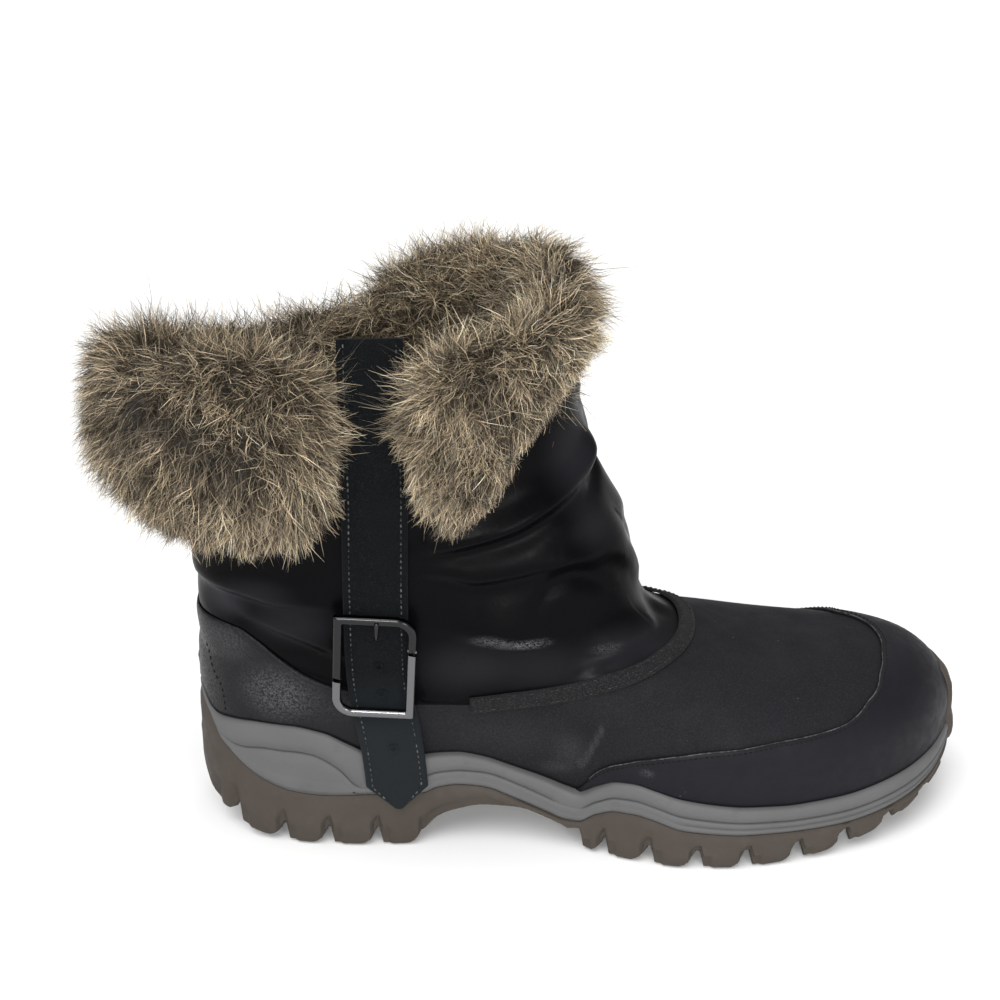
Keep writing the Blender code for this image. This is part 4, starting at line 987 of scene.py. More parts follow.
def build_upper():
    turns = np.arange(0.0, 360.0, TURN_STEP)
    levels = upper_levels()
    t, v = np.meshgrid(turns, levels)
    t = t.ravel()
    v = v.ravel()
    p = upper_point(t, v)
    n = outward(p)
    signed = np.where(t > 180.0, t - 360.0, t)
    cloth = ease(0.15, 0.9, v - panel_level(t))
    at_counter = np.abs(signed) < COUNTER_EDGE[-1][0]
    cloth *= np.where(at_counter, ease(0.1, 0.7, v - counter_edge(signed)), 1.0)
    cloth *= ease(0.0, 3.0, COLLAR_LEVEL - v)
    sway = 1.9 * np.sin(np.radians(2.0 * t)) + 0.012 * p[:, 0] * p[:, 1] / 10.0
    waves = WAVE * np.sin(p[:, 2] / WAVE_LENGTH + sway)
    relief = cloth * (fold_relief(p, n) + waves)
    relief = np.where(relief < 0, -TROUGH_LIMIT * np.tanh(-relief / TROUGH_LIMIT), relief)
    behind = (p[:, 1] < 0) * (1.0 - ease(*STRAP_CLEAR, np.abs(p[:, 0] - strap_x(p[:, 2]))))
    relief = np.where(relief > 0, relief * (1.0 - behind), relief)
    p = p + n * relief[:, None]
    inner_levels = np.linspace(0, COLLAR_LEVEL, 22)
    ti, vi = np.meshgrid(turns, inner_levels)
    inside = upper_point(ti, vi)
    away = outward(inside)
    flat = np.isin(vi.ravel(), (0.0, float(COLLAR_LEVEL)))
    away[flat, 2] = 0.0
    inside = inside - unit(away) * WALL
    rows, cols, deep = len(levels), len(turns), len(inner_levels)
    inner_first = rows * cols
    outer_faces = grid_faces(rows, cols, closed=True)
    inner_faces = grid_faces(deep, cols, closed=True, first=inner_first)
    ring = np.arange(cols)
    nxt = np.roll(ring, -1)
    joins = []
    for out_row, in_row in ((0, 0), (rows - 1, deep - 1)):
        o = out_row * cols
        i = inner_first + in_row * cols
        joins.append(np.stack([o + ring, o + nxt, i + nxt, i + ring], -1))
    quads = np.concatenate([outer_faces, inner_faces] + joins)
    middle = v[outer_faces].mean(1)
    is_vamp = middle < panel_level(t[outer_faces[:, 0]])
    pick = np.concatenate([np.where(is_vamp, 1, 0), np.full(len(inner_faces), 2), np.zeros(2 * cols, int)])
    thing = piece("upper_shell", np.concatenate([p, inside]), quads, (SATIN, VAMP, LINING), pick)
    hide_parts("upper")


def overlay(name, node, turns, edge, steps, material, skive):
    """Panel over the upper from the sole to an edge line, thinned over a width along its edge."""
    count = len(turns)
    share = 1.0 - (1.0 - np.linspace(0, 1, steps)) ** 1.5
    t = np.repeat(turns[None, :], steps, axis=0).ravel()
    v = (share[:, None] * edge(turns)[None, :]).ravel()
    p = upper_point(np.mod(t, 360.0), v)
    n = outward(p)
    n[:count, 2] = 0.0
    n = unit(n)
    grid = p.reshape(steps, count, 3)
    to_top = np.linalg.norm(grid - grid[-1][None], axis=2)
    ends = np.linalg.norm(grid - grid[:, :1], axis=2)
    ends = np.minimum(ends, np.linalg.norm(grid - grid[:, -1:], axis=2))
    edge_gap = np.minimum(to_top, ends).ravel()
    full = 0.06 + 0.94 * np.sqrt(np.clip(1.0 - (1.0 - np.clip(edge_gap / skive, 0, 1)) ** 2, 0, 1))
    low = p + n * SEAT
    high = p + n * (SEAT + OVERLAY * full)[:, None]
    thing = piece(name, np.concatenate([low, high]), sheet_faces(steps, count), (material,))
    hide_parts(node)


def build_trim():
    turns = np.linspace(TRIM_LINE[0][0], TRIM_LINE[-1][0], 260)
    mid = upper_point(turns, trim_level(turns))
    side = unit(np.cross(unit(np.gradient(mid, axis=0)), outward(mid)))
    low = []
    high = []
    for across, rise in TRIM_PROFILE:
        p = settle(mid + side * across * TRIM_WIDTH / 2)
        n = outward(p)
        low.append(p + n * SEAT)
        high.append(p + n * (SEAT + OVERLAY * rise))
    verts, quads = loft(np.concatenate([np.array(high), np.array(low)[::-1]]).transpose(1, 0, 2))
    thing = piece("throat_binding", verts, quads, (TRIM_SUEDE,))
    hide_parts("throat_trim")
    lines = []
    for across in (-TRIM_SEAM, TRIM_SEAM):
        p = settle(mid + side * across * TRIM_WIDTH / 2)
        n = outward(p)
        lines.append((p + n * (SEAT + OVERLAY * 0.96), n))
    stitches("trim_stitches", lines, THREAD, pitch=2.4, length=1.7, radius=0.24)


def spread(points, directions, pitch):
    """Places at an even pitch along a line, with run and outward directions."""
    step = np.linalg.norm(np.diff(points, axis=0), axis=1)
    at = np.concatenate([[0.0], np.cumsum(step)])
    want = np.arange(0.5 * pitch, at[-1], pitch)

    def along(rows, where):
        return np.stack([np.interp(where, at, rows[:, k]) for k in range(3)], 1)

    run = unit(along(points, want + 0.3) - along(points, want - 0.3))
    return along(points, want), run, unit(along(directions, want))


def stitches(name, lines, thread, pitch, length, radius):
    """Rows of stitches, each a short arched thread whose ends dip into the surface."""
    sides = 5
    arc = ((-0.5, -0.7, 0.5), (-0.22, 0.35, 1.0), (0.22, 0.35, 1.0), (0.5, -0.7, 0.5))
    per = len(arc) * sides
    rows = []
    for points, directions in lines:
        p, run, n = spread(points, directions, pitch)
        across = np.cross(run, n)
        threads = []
        for along, lift, fat in arc:
            for k in range(sides):
                a = 2 * math.pi * k / sides
                out = n * (radius * (lift + fat * math.cos(a)))
                threads.append(p + run * (along * length) + out + across * (radius * fat * math.sin(a)))
        rows.append(np.array(threads).transpose(1, 0, 2).reshape(-1, 3))
    verts = np.concatenate(rows)
    quads = repeated(grid_faces(len(arc), sides, closed=True), len(verts) // per, per)
    piece(name, verts, quads, (thread,), solid=False)


def overlay_seam(turns, edge, below):
    """Line on an overlay, a distance below its top edge."""
    top = upper_point(np.mod(turns, 360.0), edge(turns))
    under = upper_point(np.mod(turns, 360.0), np.maximum(edge(turns) - 0.6, 0.0))
    p = settle(top + unit(under - top) * below)
    n = outward(p)
    return p + n * (SEAT + OVERLAY), n


def sheet_faces(rows, cols):
    """Quads of two grids of vertices, one after the other, joined along their edges."""
    first = rows * cols
    faces = [grid_faces(rows, cols), grid_faces(rows, cols, first=first)]
    ids = np.arange(first).reshape(rows, cols)
    for line in (ids[0], ids[-1], ids[:, 0], ids[:, -1]):
        faces.append(np.stack([line[:-1], line[1:], line[1:] + first, line[:-1] + first], -1))
    return np.concatenate(faces)


def repeated(quads, count, step):
    """The same quads for a number of equal forms, whose vertices are a step apart."""
    return (quads[None] + (np.arange(count) * step)[:, None, None]).reshape(-1, 4)


def loft(rings):
    """Vertices and quads of a closed skin through rings, its ends closed rung by rung."""
    count, size = rings.shape[:2]
    faces = [grid_faces(count, size, closed=True)]
    for row in (0, count - 1):
        k = row * size + np.arange(size // 2 - 1)
        j = row * size + size - 1 - np.arange(size // 2 - 1)
        faces.append(np.stack([k, k + 1, j - 1, j], -1))
    return rings.reshape(-1, 3), np.concatenate(faces)


def build_guard():
    turns = np.linspace(*GUARD_TURNS, 250)
    overlay("toe_guard_panel", "toe_guard", turns, guard_top, 30, GUARD, skive=1.5)


def sew_guard():
    """Seam of the toe guard, and the cord of pale thread along its top edge."""
    turns = np.linspace(*GUARD_SEAM, 500)
    seams = [overlay_seam(turns, guard_top, below=1.7)]
    stitches("guard_stitches", seams, DARK_THREAD, pitch=2.0, length=1.5, radius=0.26)
    rim, out = overlay_seam(turns, guard_top, below=0.25)
    seams = [(rim - 0.55 * out, out)]
    stitches("guard_rim", seams, PALE_THREAD, pitch=0.9, length=1.3, radius=0.24)


def build_counter():
    turns = np.linspace(-COUNTER_END, COUNTER_END, 150)
    overlay("heel_counter_panel", "heel_counter", turns, counter_edge, 36, COUNTER, skive=5.0)


def sew_counter():
    """The two upright seams of the heel counter."""
    rise = np.linspace(*COUNTER_SEAM, 60)
    lines = []
    for turn in (COUNTER_SEAM_TURN, -COUNTER_SEAM_TURN):
        p = upper_point(np.full(len(rise), turn % 360.0), rise)
        lines.append((p + outward(p) * (SEAT + OVERLAY), outward(p)))
    stitches("counter_stitches", lines, DARK_THREAD, pitch=2.6, length=1.7, radius=0.22)


def sole_stations(count):
    """Stations along the sole, closer together at the round ends."""
    b = np.linspace(*bow(SOLE_ENDS), count)
    return SOLE_LENGTH / 2 * (1 - np.cos(b))


def build_midsole():
    x = sole_stations(330)
    top = midsole_top(x)
    seam = sole_seam(x)
    tall = top - seam
    small = np.minimum(1.0, tall / RIB_FULL)
    rib = RIB * small
    place = np.clip(groove_place(x), 0.12, 0.86)
    low_place = np.clip(np.maximum(place + 0.16, 0.76), 0.2, 0.93)
    cut = groove_depth(x) * small
    low_cut = groove_low(x) * small
    line = top - place * tall
    low_line = top - low_place * tall
    half_cut = 0.4 * small
    profile = [
        (-0.25 * rib, top), (0.55 * rib, top - 0.5 * small), (rib, top - 1.3 * small),
        (1.15 * rib, (top + line) / 2 - 0.2 * small), (rib, line + 1.6 * half_cut),
        (0.9 * rib - 0.5 * cut, line + 0.8 * half_cut), (0.8 * rib - 2.2 * cut, line),
        (0.9 * rib - 0.5 * cut, line - 0.8 * half_cut), (rib, line - 1.6 * half_cut),
        (1.1 * rib, (line + low_line) / 2), (rib, low_line + 1.4 * half_cut),
        (0.9 * rib - 2.0 * low_cut, low_line), (rib, low_line - 1.4 * half_cut),
        (0.95 * rib, seam + 0.08 * tall + 0.3 * small), (0.1 * rib, seam),
    ]
    halves = []
    for side in (-1, 1):
        dish = sole_points(x, side, -DISH_INSET)
        ledge = sole_points(x, side, -LEDGE)
        bed = np.minimum(foot_bed(dish[:, 0]), midsole_top(dish[:, 0]) - 1.0)
        rows = [np.c_[dish, bed], np.c_[ledge, midsole_top(ledge[:, 0])]]
        rows += [np.c_[sole_points(x, side, out), z] for out, z in profile]
        halves.append(np.array(rows))
    verts, quads = loft(np.concatenate([halves[0], halves[1][::-1]]).transpose(1, 0, 2))
    thing = piece("midsole_cup", verts, quads, (MIDSOLE,))
    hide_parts("midsole")


def lug_share(x):
    """1 on a block of the tread and 0 in a slot, with drafted flanks."""
    share = np.zeros(len(x))
    for start, end in LUGS:
        rising = np.clip((x - start + LUG_DRAFT) / (2 * LUG_DRAFT), 0, 1)
        falling = np.clip((end + LUG_DRAFT - x) / (2 * LUG_DRAFT), 0, 1)
        share = np.maximum(share, rising * falling)
    return share


def notch_share(x):
    """Height of the cut between two blocks: a bevel on the first one's end, then a narrow notch."""
    share = np.zeros(len(x))
    for (_start, end), (start, _end) in zip(LUGS[:-1], LUGS[1:]):
        bevel = 0.5 * np.clip((x - end + LUG_BEVEL) / (LUG_BEVEL + 0.6), 0, 1) ** 1.7
        notch = 0.5 * ease(end + 0.5, 0.5 * (end + start) + 0.4, x)
        share = np.maximum(share, (bevel + notch) * np.clip((start + LUG_DRAFT - x) / 1.5, 0, 1))
    return share


def lug_facet(x):
    """Outward share over a block, lower on the facet at its start."""
    share = np.ones(len(x))
    for start, end in LUGS:
        on_lug = (x >= start - LUG_DRAFT) & (x <= end + LUG_DRAFT)
        share = np.where(on_lug, 0.5 + 0.5 * ease(start + LUG_FACET[0], start + LUG_FACET[-1], x), share)
    return share


def tread_stations():
    """Stations along the outsole, with those that the edges of its blocks need."""
    x = list(sole_stations(150))
    for start, end in LUGS:
        x += [edge + share * LUG_DRAFT for edge in (start, end) for share in (-1.0, -0.5, 0.0, 0.5, 1.0)]
        x += [start + s for s in LUG_FACET]
        x += [end + s for s in LUG_END]
    x = np.unique(np.round(x, 2))
    x = x[(x > SOLE_ENDS[0] - 0.01) & (x < SOLE_ENDS[1] + 0.01)]
    return x[np.concatenate([[True], np.diff(x) > 0.12])]


def between(span, x):
    """1 between two soft steps, each from one x to another, and 0 outside."""
    (start, full), (fading, end) = span
    return ease(start, full, x) * (1.0 - ease(fading, end, x))


def build_outsole():
    x = tread_stations()
    floor = lug_floor(x)
    seam = sole_seam(x) - 0.3
    at_heel = 1.0 - ease(*PLAIN_HEEL, x)
    block = np.maximum(lug_share(x), at_heel)
    facet = np.maximum(lug_facet(x), at_heel)
    grooved = between(GROOVED, x)
    arch = between(ARCH, x)
    recess = np.minimum(floor + LUG_DEPTH, seam - 2.5)
    low = floor + (recess - floor) * np.minimum(1.0 - arch, notch_share(x))
    hollow = recess + (floor + 0.6 - recess) * arch
    hollow = np.maximum(low + (hollow - low) * grooved, low)
    width = plan_medial(bow(x)) - plan_lateral(bow(x))
    mid = (plan_medial(bow(x)) + plan_lateral(bow(x))) / 2
    deep = np.minimum(0.30 * width, 17.0)
    tall = seam - low
    step = np.minimum(0.62 * (seam - floor), np.maximum(seam - recess + 1.2, 1.0))
    step_z = np.maximum(seam - step, low + 0.45 * tall)
    rim = -0.8 + 1.9 * block * facet
    edge_rows = (
        (0.0, seam), (0.75, seam - 0.12 * tall), (0.95, seam - 0.5 * (seam - step_z)),
        (0.85, step_z + 0.04 * tall), (0.2 + 1.0 * block, step_z - 0.05 * tall),
        (rim, low + 0.3 * tall), (rim, low + 1.3), (rim - 0.5, low + 0.4), (rim - 1.5, low),
    )
    halves = []
    for side in (-1, 1):
        p, n = plan_edge(x, side)
        inner = p[:, 1] + (mid - p[:, 1]) * np.minimum(1.0, 2 * deep / np.maximum(width, 1.0))
        groove = p[:, 1] + (mid - p[:, 1]) * np.minimum(1.0, 2 * (deep + 3.0) / np.maximum(width, 1.0))
        core = groove + (mid - groove) * 0.22
        across = 0.5 * (p[:, 1] - n[:, 1] * 1.5 + inner)
        rows = [np.c_[sole_points(x, side, out), z] for out, z in edge_rows]
        under = (
            (across, low), (inner, low), (inner + (groove - inner) * 0.3, hollow), (groove, hollow),
            (core, low),
        )
        rows += [np.c_[x, y, z] for y, z in under]
        halves.append(np.array(rows))
    verts, quads = loft(np.concatenate([halves[0], halves[1][::-1]]).transpose(1, 0, 2))
    thing = piece("outsole_tread", verts, quads, (OUTSOLE,))
    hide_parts("outsole")
    split_edges(thing, 38.0)


def build_bumper():
    """Rubber lip of the outsole that runs up the front of the toe over midsole and guard."""
    turns = np.linspace(*BUMPER_TURNS, 40)
    count = len(turns)
    from_ends = np.minimum(3.0 * np.arange(count), np.arange(count)[::-1])
    foot = upper_point(turns, np.zeros(count))
    n = outward(foot)
    n[:, 2] = 0.0
    n = unit(n)
    top = midsole_top(foot[:, 0])
    seam = sole_seam(foot[:, 0] + 2.0)
    rows = []
    ways = []
    for share, out in ((-0.1, 0.4), (0.2, 1.1), (0.6, 1.3), (0.92, 1.1)):
        p = foot + n * (FEATHER_INSET + RIB + out)
        rows.append(np.c_[p[:, :2], seam + (top - seam) * share])
        ways.append(n)
    for level in (0.5, 1.2, 2.0, 2.7, 3.3):
        p = upper_point(turns, level * (0.2 + 0.8 * ease(0.0, 13.0, from_ends)))
        rows.append(p + outward(p) * (SEAT + OVERLAY + 1.5))
        ways.append(outward(rows[-1]))
    rows = np.array(rows)
    ways = np.array(ways)
    thick = BUMPER_THICK * np.clip(from_ends / 9.0, 0.2, 1.0)
    front = rows - ways * (BUMPER_THICK - thick)[None, :, None]
    front[-1] = front[-1] - ways[-1] * 0.9
    back = rows - ways * 2.6
    verts = np.concatenate([front.reshape(-1, 3), back.reshape(-1, 3)])
    piece("toe_bumper", verts, sheet_faces(len(rows), count), (OUTSOLE,))


def strap_skin(z, across, off):
    """Points on the strap: height, place across from -1 to 1, distance out from its back face."""
    half = np.interp(z, STRAP_ROWS[:, 0], STRAP_ROWS[:, 4])
    u = across * half
    return np.stack([strap_x(z) + u, strap_y(z) + strap_slope(z) * u - off, z], -1)


def build_strap():
    low, high = STRAP_ROWS[0, 0], STRAP_ROWS[-1, 0]
    z = np.linspace(low, high, 190)
    rings = np.array([strap_skin(z, across, STRAP_THICK * rise) for across, rise in STRAP_PROFILE])
    verts, quads = loft(rings.transpose(1, 0, 2))
    thing = piece("side_strap", verts, quads, (STRAP_SUEDE,))
    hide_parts("strap")
    run = np.linspace(low + 2.5, high - 1.0, 220)
    out = np.repeat([[0.0, -1.0, 0.0]], len(run), axis=0)
    lines = [(strap_skin(run, across, STRAP_THICK * 0.95), out) for across in (-STRAP_SEAM, STRAP_SEAM)]
    stitches("strap_stitches", lines, STRAP_THREAD, pitch=2.3, length=1.5, radius=0.3)
    build_holes()


def build_holes():
    """Punched holes of the strap: a rolled rim round a dark cup."""
    profile = ((1.75, 0.0), (1.5, 0.16), (1.2, 0.12), (1.0, -0.2), (0.9, -0.7), (0.05, -0.75))
    sides = 20
    a = 2 * math.pi * np.arange(sides) / sides
    verts = []
    for height in HOLE_HEIGHTS:
        centre = strap_skin(np.array([height]), 0.05, STRAP_THICK * 1.08 + 0.62)[0]
        for radius, out in profile:
            verts.append(centre + np.stack([radius * np.cos(a), np.full(sides, -out), radius * np.sin(a)], 1))
    one = grid_faces(len(profile), sides, closed=True)
    quads = repeated(one, len(HOLE_HEIGHTS), len(profile) * sides)
    piece("strap_holes", np.concatenate(verts), quads, (STRAP_SUEDE,), solid=False)


def buckle_plane():
    """Height of the buckle's back face over x and z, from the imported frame."""
    points, _tri = node_faces("buckle_frame")
    table = np.c_[np.ones(len(points)), points[:, 0], points[:, 2]]
    fit = np.linalg.lstsq(table, points[:, 1], rcond=None)[0]
    fit[0] += (points[:, 1] - table @ fit).max()
    return fit


def on_buckle(plane, u, w, off):
    """Points by their place across and up from the buckle's middle, and their distance from its back face."""
    lean = math.radians(BUCKLE_LEAN)
    x = BUCKLE_MIDDLE[0] + u * math.cos(lean) - w * math.sin(lean)
    z = BUCKLE_MIDDLE[1] + u * math.sin(lean) + w * math.cos(lean)
    return np.stack([x, plane[0] + plane[1] * x + plane[2] * z - off, z], -1)


def buckle_line(inset, steps=12):
    """Line of the buckle's frame, an inset from its outside, with two square and two round corners."""
    pts = []
    corners = ((1, -1, -90, 0.9), (1, 1, 0, 8.0), (-1, 1, 90, 0.9), (-1, -1, 180, 8.0))
    for cx, cz, start, radius in corners:
        r = max(radius - inset, 0.5)
        ox = cx * (BUCKLE_WIDTH / 2 - inset - r)
        oz = cz * (BUCKLE_HEIGHT / 2 - inset - r)
        for k in range(steps):
            a = math.radians(start + 90.0 * k / (steps - 1))
            pts.append((ox + r * math.cos(a), oz + r * math.sin(a)))
    return np.array(pts)


def filled(line, parts):
    """Closed line with points added at shares of each of its runs."""
    runs = zip(line, np.roll(line, -1, 0), parts)
    return np.concatenate([a + (b - a) * share for a, b, share in runs])


def build_buckle():
    plane = buckle_plane()
    outer = buckle_line(0.0)
    inner = buckle_line(BUCKLE_BAR)
    gaps = np.linalg.norm(np.roll(outer, -1, 0) - outer, axis=1)
    parts = [np.linspace(0, 1, 1 + max(1, math.ceil(gap / 0.6)))[:-1, None] for gap in gaps]
    outer = filled(outer, parts)
    inner = filled(inner, parts)
    slit = np.min([np.hypot(outer[:, 0] - u, outer[:, 1] - w) for u, w in BUCKLE_SLITS], axis=0)
    notch = 1.0 - 0.75 * (slit < 0.75)
    (right_u, right_w), (left_u, left_w) = BUCKLE_SLITS
    split = left_w + (right_w - left_w) * (outer[:, 0] - left_u) / (right_u - left_u)
    # the frame's upper half takes the darker copy of the plating, a painted shade of the dark it reflects
    in_shade = outer[:, 1] > split
    rings = []
    for share, rise in BUCKLE_PROFILE:
        line = outer + (inner - outer) * share
        rings.append(on_buckle(plane, line[:, 0], line[:, 1], BUCKLE_THICK * rise * notch))
    rings = np.array(rings).transpose(1, 0, 2)
    count, size = rings.shape[:2]
    ids = np.arange(count * size).reshape(count, size)
    ahead = np.roll(ids, -1, axis=0)
    quads = np.stack([ids, np.roll(ids, -1, 1), np.roll(ahead, -1, 1), ahead], -1).reshape(-1, 4)
    pick = np.repeat(in_shade.astype(int), size)
    thing = piece("buckle_ring", rings.reshape(-1, 3), quads, (METAL, SHADED_METAL), pick)
    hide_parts("buckle_frame")
    split_edges(thing, 50.0)
    build_pin(plane)


def build_pin(plane):
    """Prong of the buckle, from its top bar down over the strap."""
    steps = 16
    sides = 10
    w = BUCKLE_HEIGHT / 2 - BUCKLE_BAR / 2 - np.linspace(0, PIN_LENGTH, steps)
    lift = 1.0 + 1.9 * np.sin(math.pi * np.linspace(0.18, 1.0, steps))
    radius = 0.95 * np.linspace(1.0, 0.62, steps)
    radius[-1] = 0.25
    rows = []
    for k in range(sides):
        a = 2 * math.pi * k / sides
        rows.append(on_buckle(plane, 0.4 + radius * math.cos(a), w, lift + radius * math.sin(a)))
    verts, quads = loft(np.array(rows).transpose(1, 0, 2))
    # the prong takes the darker copy of the plating, painted shade
    thing = piece("buckle_pin", verts, quads, (SHADED_METAL,))
    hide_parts("buckle_prong")


def dress_insole():
    """The insole keeps its solid, with the lining's finish."""
    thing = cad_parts["insole"]
    if not thing.material_slots:
        thing.data.materials.append(LINING)
    for slot in thing.material_slots:
        slot.material = LINING


def smooth_normals(points, tri):
    """Way out at each point of a mesh of triangles, and the area of each triangle."""
    face = np.cross(points[tri[:, 1]] - points[tri[:, 0]], points[tri[:, 2]] - points[tri[:, 0]])
    normal = np.zeros_like(points)
    for k in range(3):
        np.add.at(normal, tri[:, k], face)
    return unit(normal), np.linalg.norm(face, axis=1) / 2


def build_hide(node):
    """Skin under the fur: the cuff's own form, rounded off."""
    points, tri = node_faces(node)
    mesh = bpy.data.meshes.new(node + "_hide")
    mesh.from_pydata([tuple((p - SHIFT) * MM) for p in points], [], [tuple(map(int, f)) for f in tri])
    mesh.materials.append(HIDE)
    mesh.shade_smooth()
    thing = placed(node + "_hide", mesh)
    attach(thing, "root")
    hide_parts(node)


def hair_roots(node, rng):
    """Roots of a cuff's hairs, the way out of its skin there, and the distance from the shaft's wall."""
    points, tri = node_faces(node)
    normal, area = smooth_normals(points, tri)
    draws = HAIRS * 3
    centre = points[tri].mean(1)
    beside = np.abs(centre[:, 0] - strap_x(centre[:, 2]))
    by_strap = (beside < 30.0) & (centre[:, 1] < -28.0) & (centre[:, 2] > 158.0)
    area = area * np.where(by_strap, 2.0, 1.0)
    pick = rng.choice(len(tri), draws, p=area / area.sum())
    mixing = rng.dirichlet((1.0, 1.0, 1.0), draws)
    base = (points[tri[pick]] * mixing[:, :, None]).sum(1)
    out = unit((normal[tri[pick]] * mixing[:, :, None]).sum(1))
    gap, away = off_last(base)
    facing = (out * away).sum(1)
    hidden = np.where(gap > -WALL / 2, (facing < -0.35) & (gap < 2.0), (facing > 0.35) & (gap > -WALL - 2.0))
    shown = np.flatnonzero(~hidden)[:HAIRS]
    return base[shown], out[shown], gap[shown]


def comb(base, out, gap, partings):
    """Way the fur lies at each root, and how near the root is to a parting."""
    middle = np.stack([(shaft_back(base[:, 2]) + shaft_front(base[:, 2])) / 2, 0 * gap - 2.0, base[:, 2]], 1)
    away = unit((base - middle) * np.array([0.6, 1.0, 0.0]))
    fall = np.where((gap > 0)[:, None], 0.65 * away + DOWN, -0.35 * away - 0.8 * DOWN)
    near = np.zeros(len(base))
    for line in partings:
        d = base[:, None, :] - np.array(line)[None, :, :]
        k = np.argmin((d ** 2).sum(-1), axis=1)
        d = d[np.arange(len(base)), k]
        far = np.linalg.norm(d, axis=1)
        fall = fall + unit(d) * (1.8 * np.exp(-(far / 15.0) ** 2))[:, None]
        near = np.maximum(near, np.exp(-(far / 7.0) ** 2))
    return fall - out * (fall * out).sum(1)[:, None], near


def eddies(base, out):
    """Sideways lean of the fur that comes and goes over a few centimetres, and the painted shade of the fur.
    """
    along = unit(np.cross(out, DOWN) + 1e-6)
    wave = np.sin(base @ np.array([0.21, 0.06, 0.15]) + 1.0)
    wave = wave + 0.8 * np.sin(base @ np.array([-0.1, 0.24, 0.19]) + 2.2)
    puff = np.sin(base @ np.array([0.17, -0.12, 0.23]) + 0.4)
    lean = 0.45 * wave[:, None] * along + 0.12 * puff[:, None] * out
    # painted light and shade: darker towards the heel's back and lower on the cuffs, lighter on their tops,
    # with broad patches of painted shadow from puff
    light = (0.86 + 0.14 * ease(-5.0, 30.0, base[:, 0])) * (0.93 + 0.15 * ease(165.0, 200.0, base[:, 2]))
    return lean, light * (0.98 + 0.26 * puff)


def lower_edge(node, base):
    """Height of a cuff's lower edge below each root."""
    points, _tri = node_faces(node)
    points = points[off_last(points)[0] > 1.0]
    low = []
    for block in np.array_split(base, CHUNKS):
        flat = np.linalg.norm(block[:, None, :2] - points[None, :, :2], axis=2)
        low.append(np.where(flat < 9.0, points[None, :, 2], np.inf).min(1))
    low = np.concatenate(low)
    return np.where(np.isinf(low), points[:, 2].min(), low)


def edge_share(node, base, tip, gap, spill, rng):
    """Share of each hair that stays near its cuff's edge and off the bare part of the strap."""
    points, tri = node_faces(node)
    tree = BVHTree.FromPolygons([tuple(p) for p in points], [tuple(map(int, f)) for f in tri])
    close = np.array([tree.find_nearest(tuple(t))[0] for t in tip])
    away = off_last(tip)[1]
    past = tip - close
    past = past - away * (past * away).sum(1)[:, None]
    far = np.linalg.norm(past, axis=1)
    way = past / np.maximum(far, 0.01)[:, None]
    free = np.clip(spill[0] - spill[1] * way[:, 0], 0.5, 9.0) * rng.uniform(0.3, 1.5, len(tip))
    size = np.linalg.norm(tip - base, axis=1)
    over = np.maximum(far - free, 0.0) * ease(0.3, -0.1, way[:, 2]) * (gap > 0)
    share = np.clip(1.0 - 1.2 * over / np.maximum(size, 1.0), 0.25, 1.0)
    side = base[:, 0] - strap_x(base[:, 2])
    root = np.abs(side)
    end = (tip[:, 0] - strap_x(tip[:, 2])) * np.sign(side)
    stop = rng.uniform(*BARE_EDGE, len(tip))
    bare = (tip[:, 2] < rng.uniform(*BARE_STRAP, len(tip))) & (tip[:, 1] < -25.0) & (gap > 0)
    meets = bare & (root > stop) & (end < stop)
    to_strap = np.clip((root - stop) / np.maximum(root - end, 0.1), 0.2, 1.0)
    return np.where(meets, np.minimum(share, to_strap), share)


def hair_tones(kind, lock, near, rng):
    """Colours along each hair from root to tip; kind runs from gold over grey and pale to dark hair."""
    kind = kind[:, None]
    tip = np.where(kind < 0.23, FUR_GOLD, np.where(kind < 0.4, FUR_GREY, FUR_PALE))
    tip = np.where(kind > DARK_KIND, FUR_DARK, tip)
    body = FUR_BODY + 0.25 * (tip - FUR_BODY)
    stops = np.stack([FUR_ROOT + 0 * tip, 0.4 * FUR_ROOT + 0.6 * body, 0.55 * body + 0.45 * tip, tip], 1)
    # hairs near a parting are darkened, painted shade in the parting; lock also carries the painted shade from
    # eddies
    shade = lock * rng.uniform(0.62, 1.4, len(kind)) * (1.0 - 0.6 * near)
    return np.clip(np.repeat(stops * shade[:, None, None], 2, axis=1).reshape(-1, 3), 0, 1)


def lock_owners(base, clumps):
    """Number of the nearest lock at each root."""
    owner = []
    for block in np.array_split(base, CHUNKS):
        owner.append(np.argmin(((block[:, None] - base[clumps][None]) ** 2).sum(-1), axis=1))
    return np.concatenate(owner)


def hair_curve(base, aim, tip, size, gap, rng):
    """Points along each hair, kept off the shaft and over the strap."""
    count = len(base)
    kink = rng.normal(0, HAIR_KINK, (count, 3))
    curve = []
    for s in HAIR_STEPS:
        spot = base + aim * (size * s)[:, None] + (tip - base - aim * size[:, None]) * s * s
        spot = spot + kink * (size * math.sin(2 * math.pi * s))[:, None]
        if s > 0:
            off, away = off_last(spot)
            inside = (gap > 0) & (off < 0.5)
            lifted = spot + away * (0.5 + 0.6 * rng.random(count) - off)[:, None]
            spot = np.where(inside[:, None], lifted, spot)
            front = strap_y(spot[:, 2]) - STRAP_THICK - 0.5 - 1.6 * rng.random(count)
            beside = np.abs(spot[:, 0] - strap_x(spot[:, 2]))
            crossing = (gap > 0) & (spot[:, 1] < 0) & (beside < STRAP_HALF)
            spot[:, 1] = np.where(crossing, np.minimum(spot[:, 1], front), spot[:, 1])
        curve.append(spot)
    return np.array(curve)


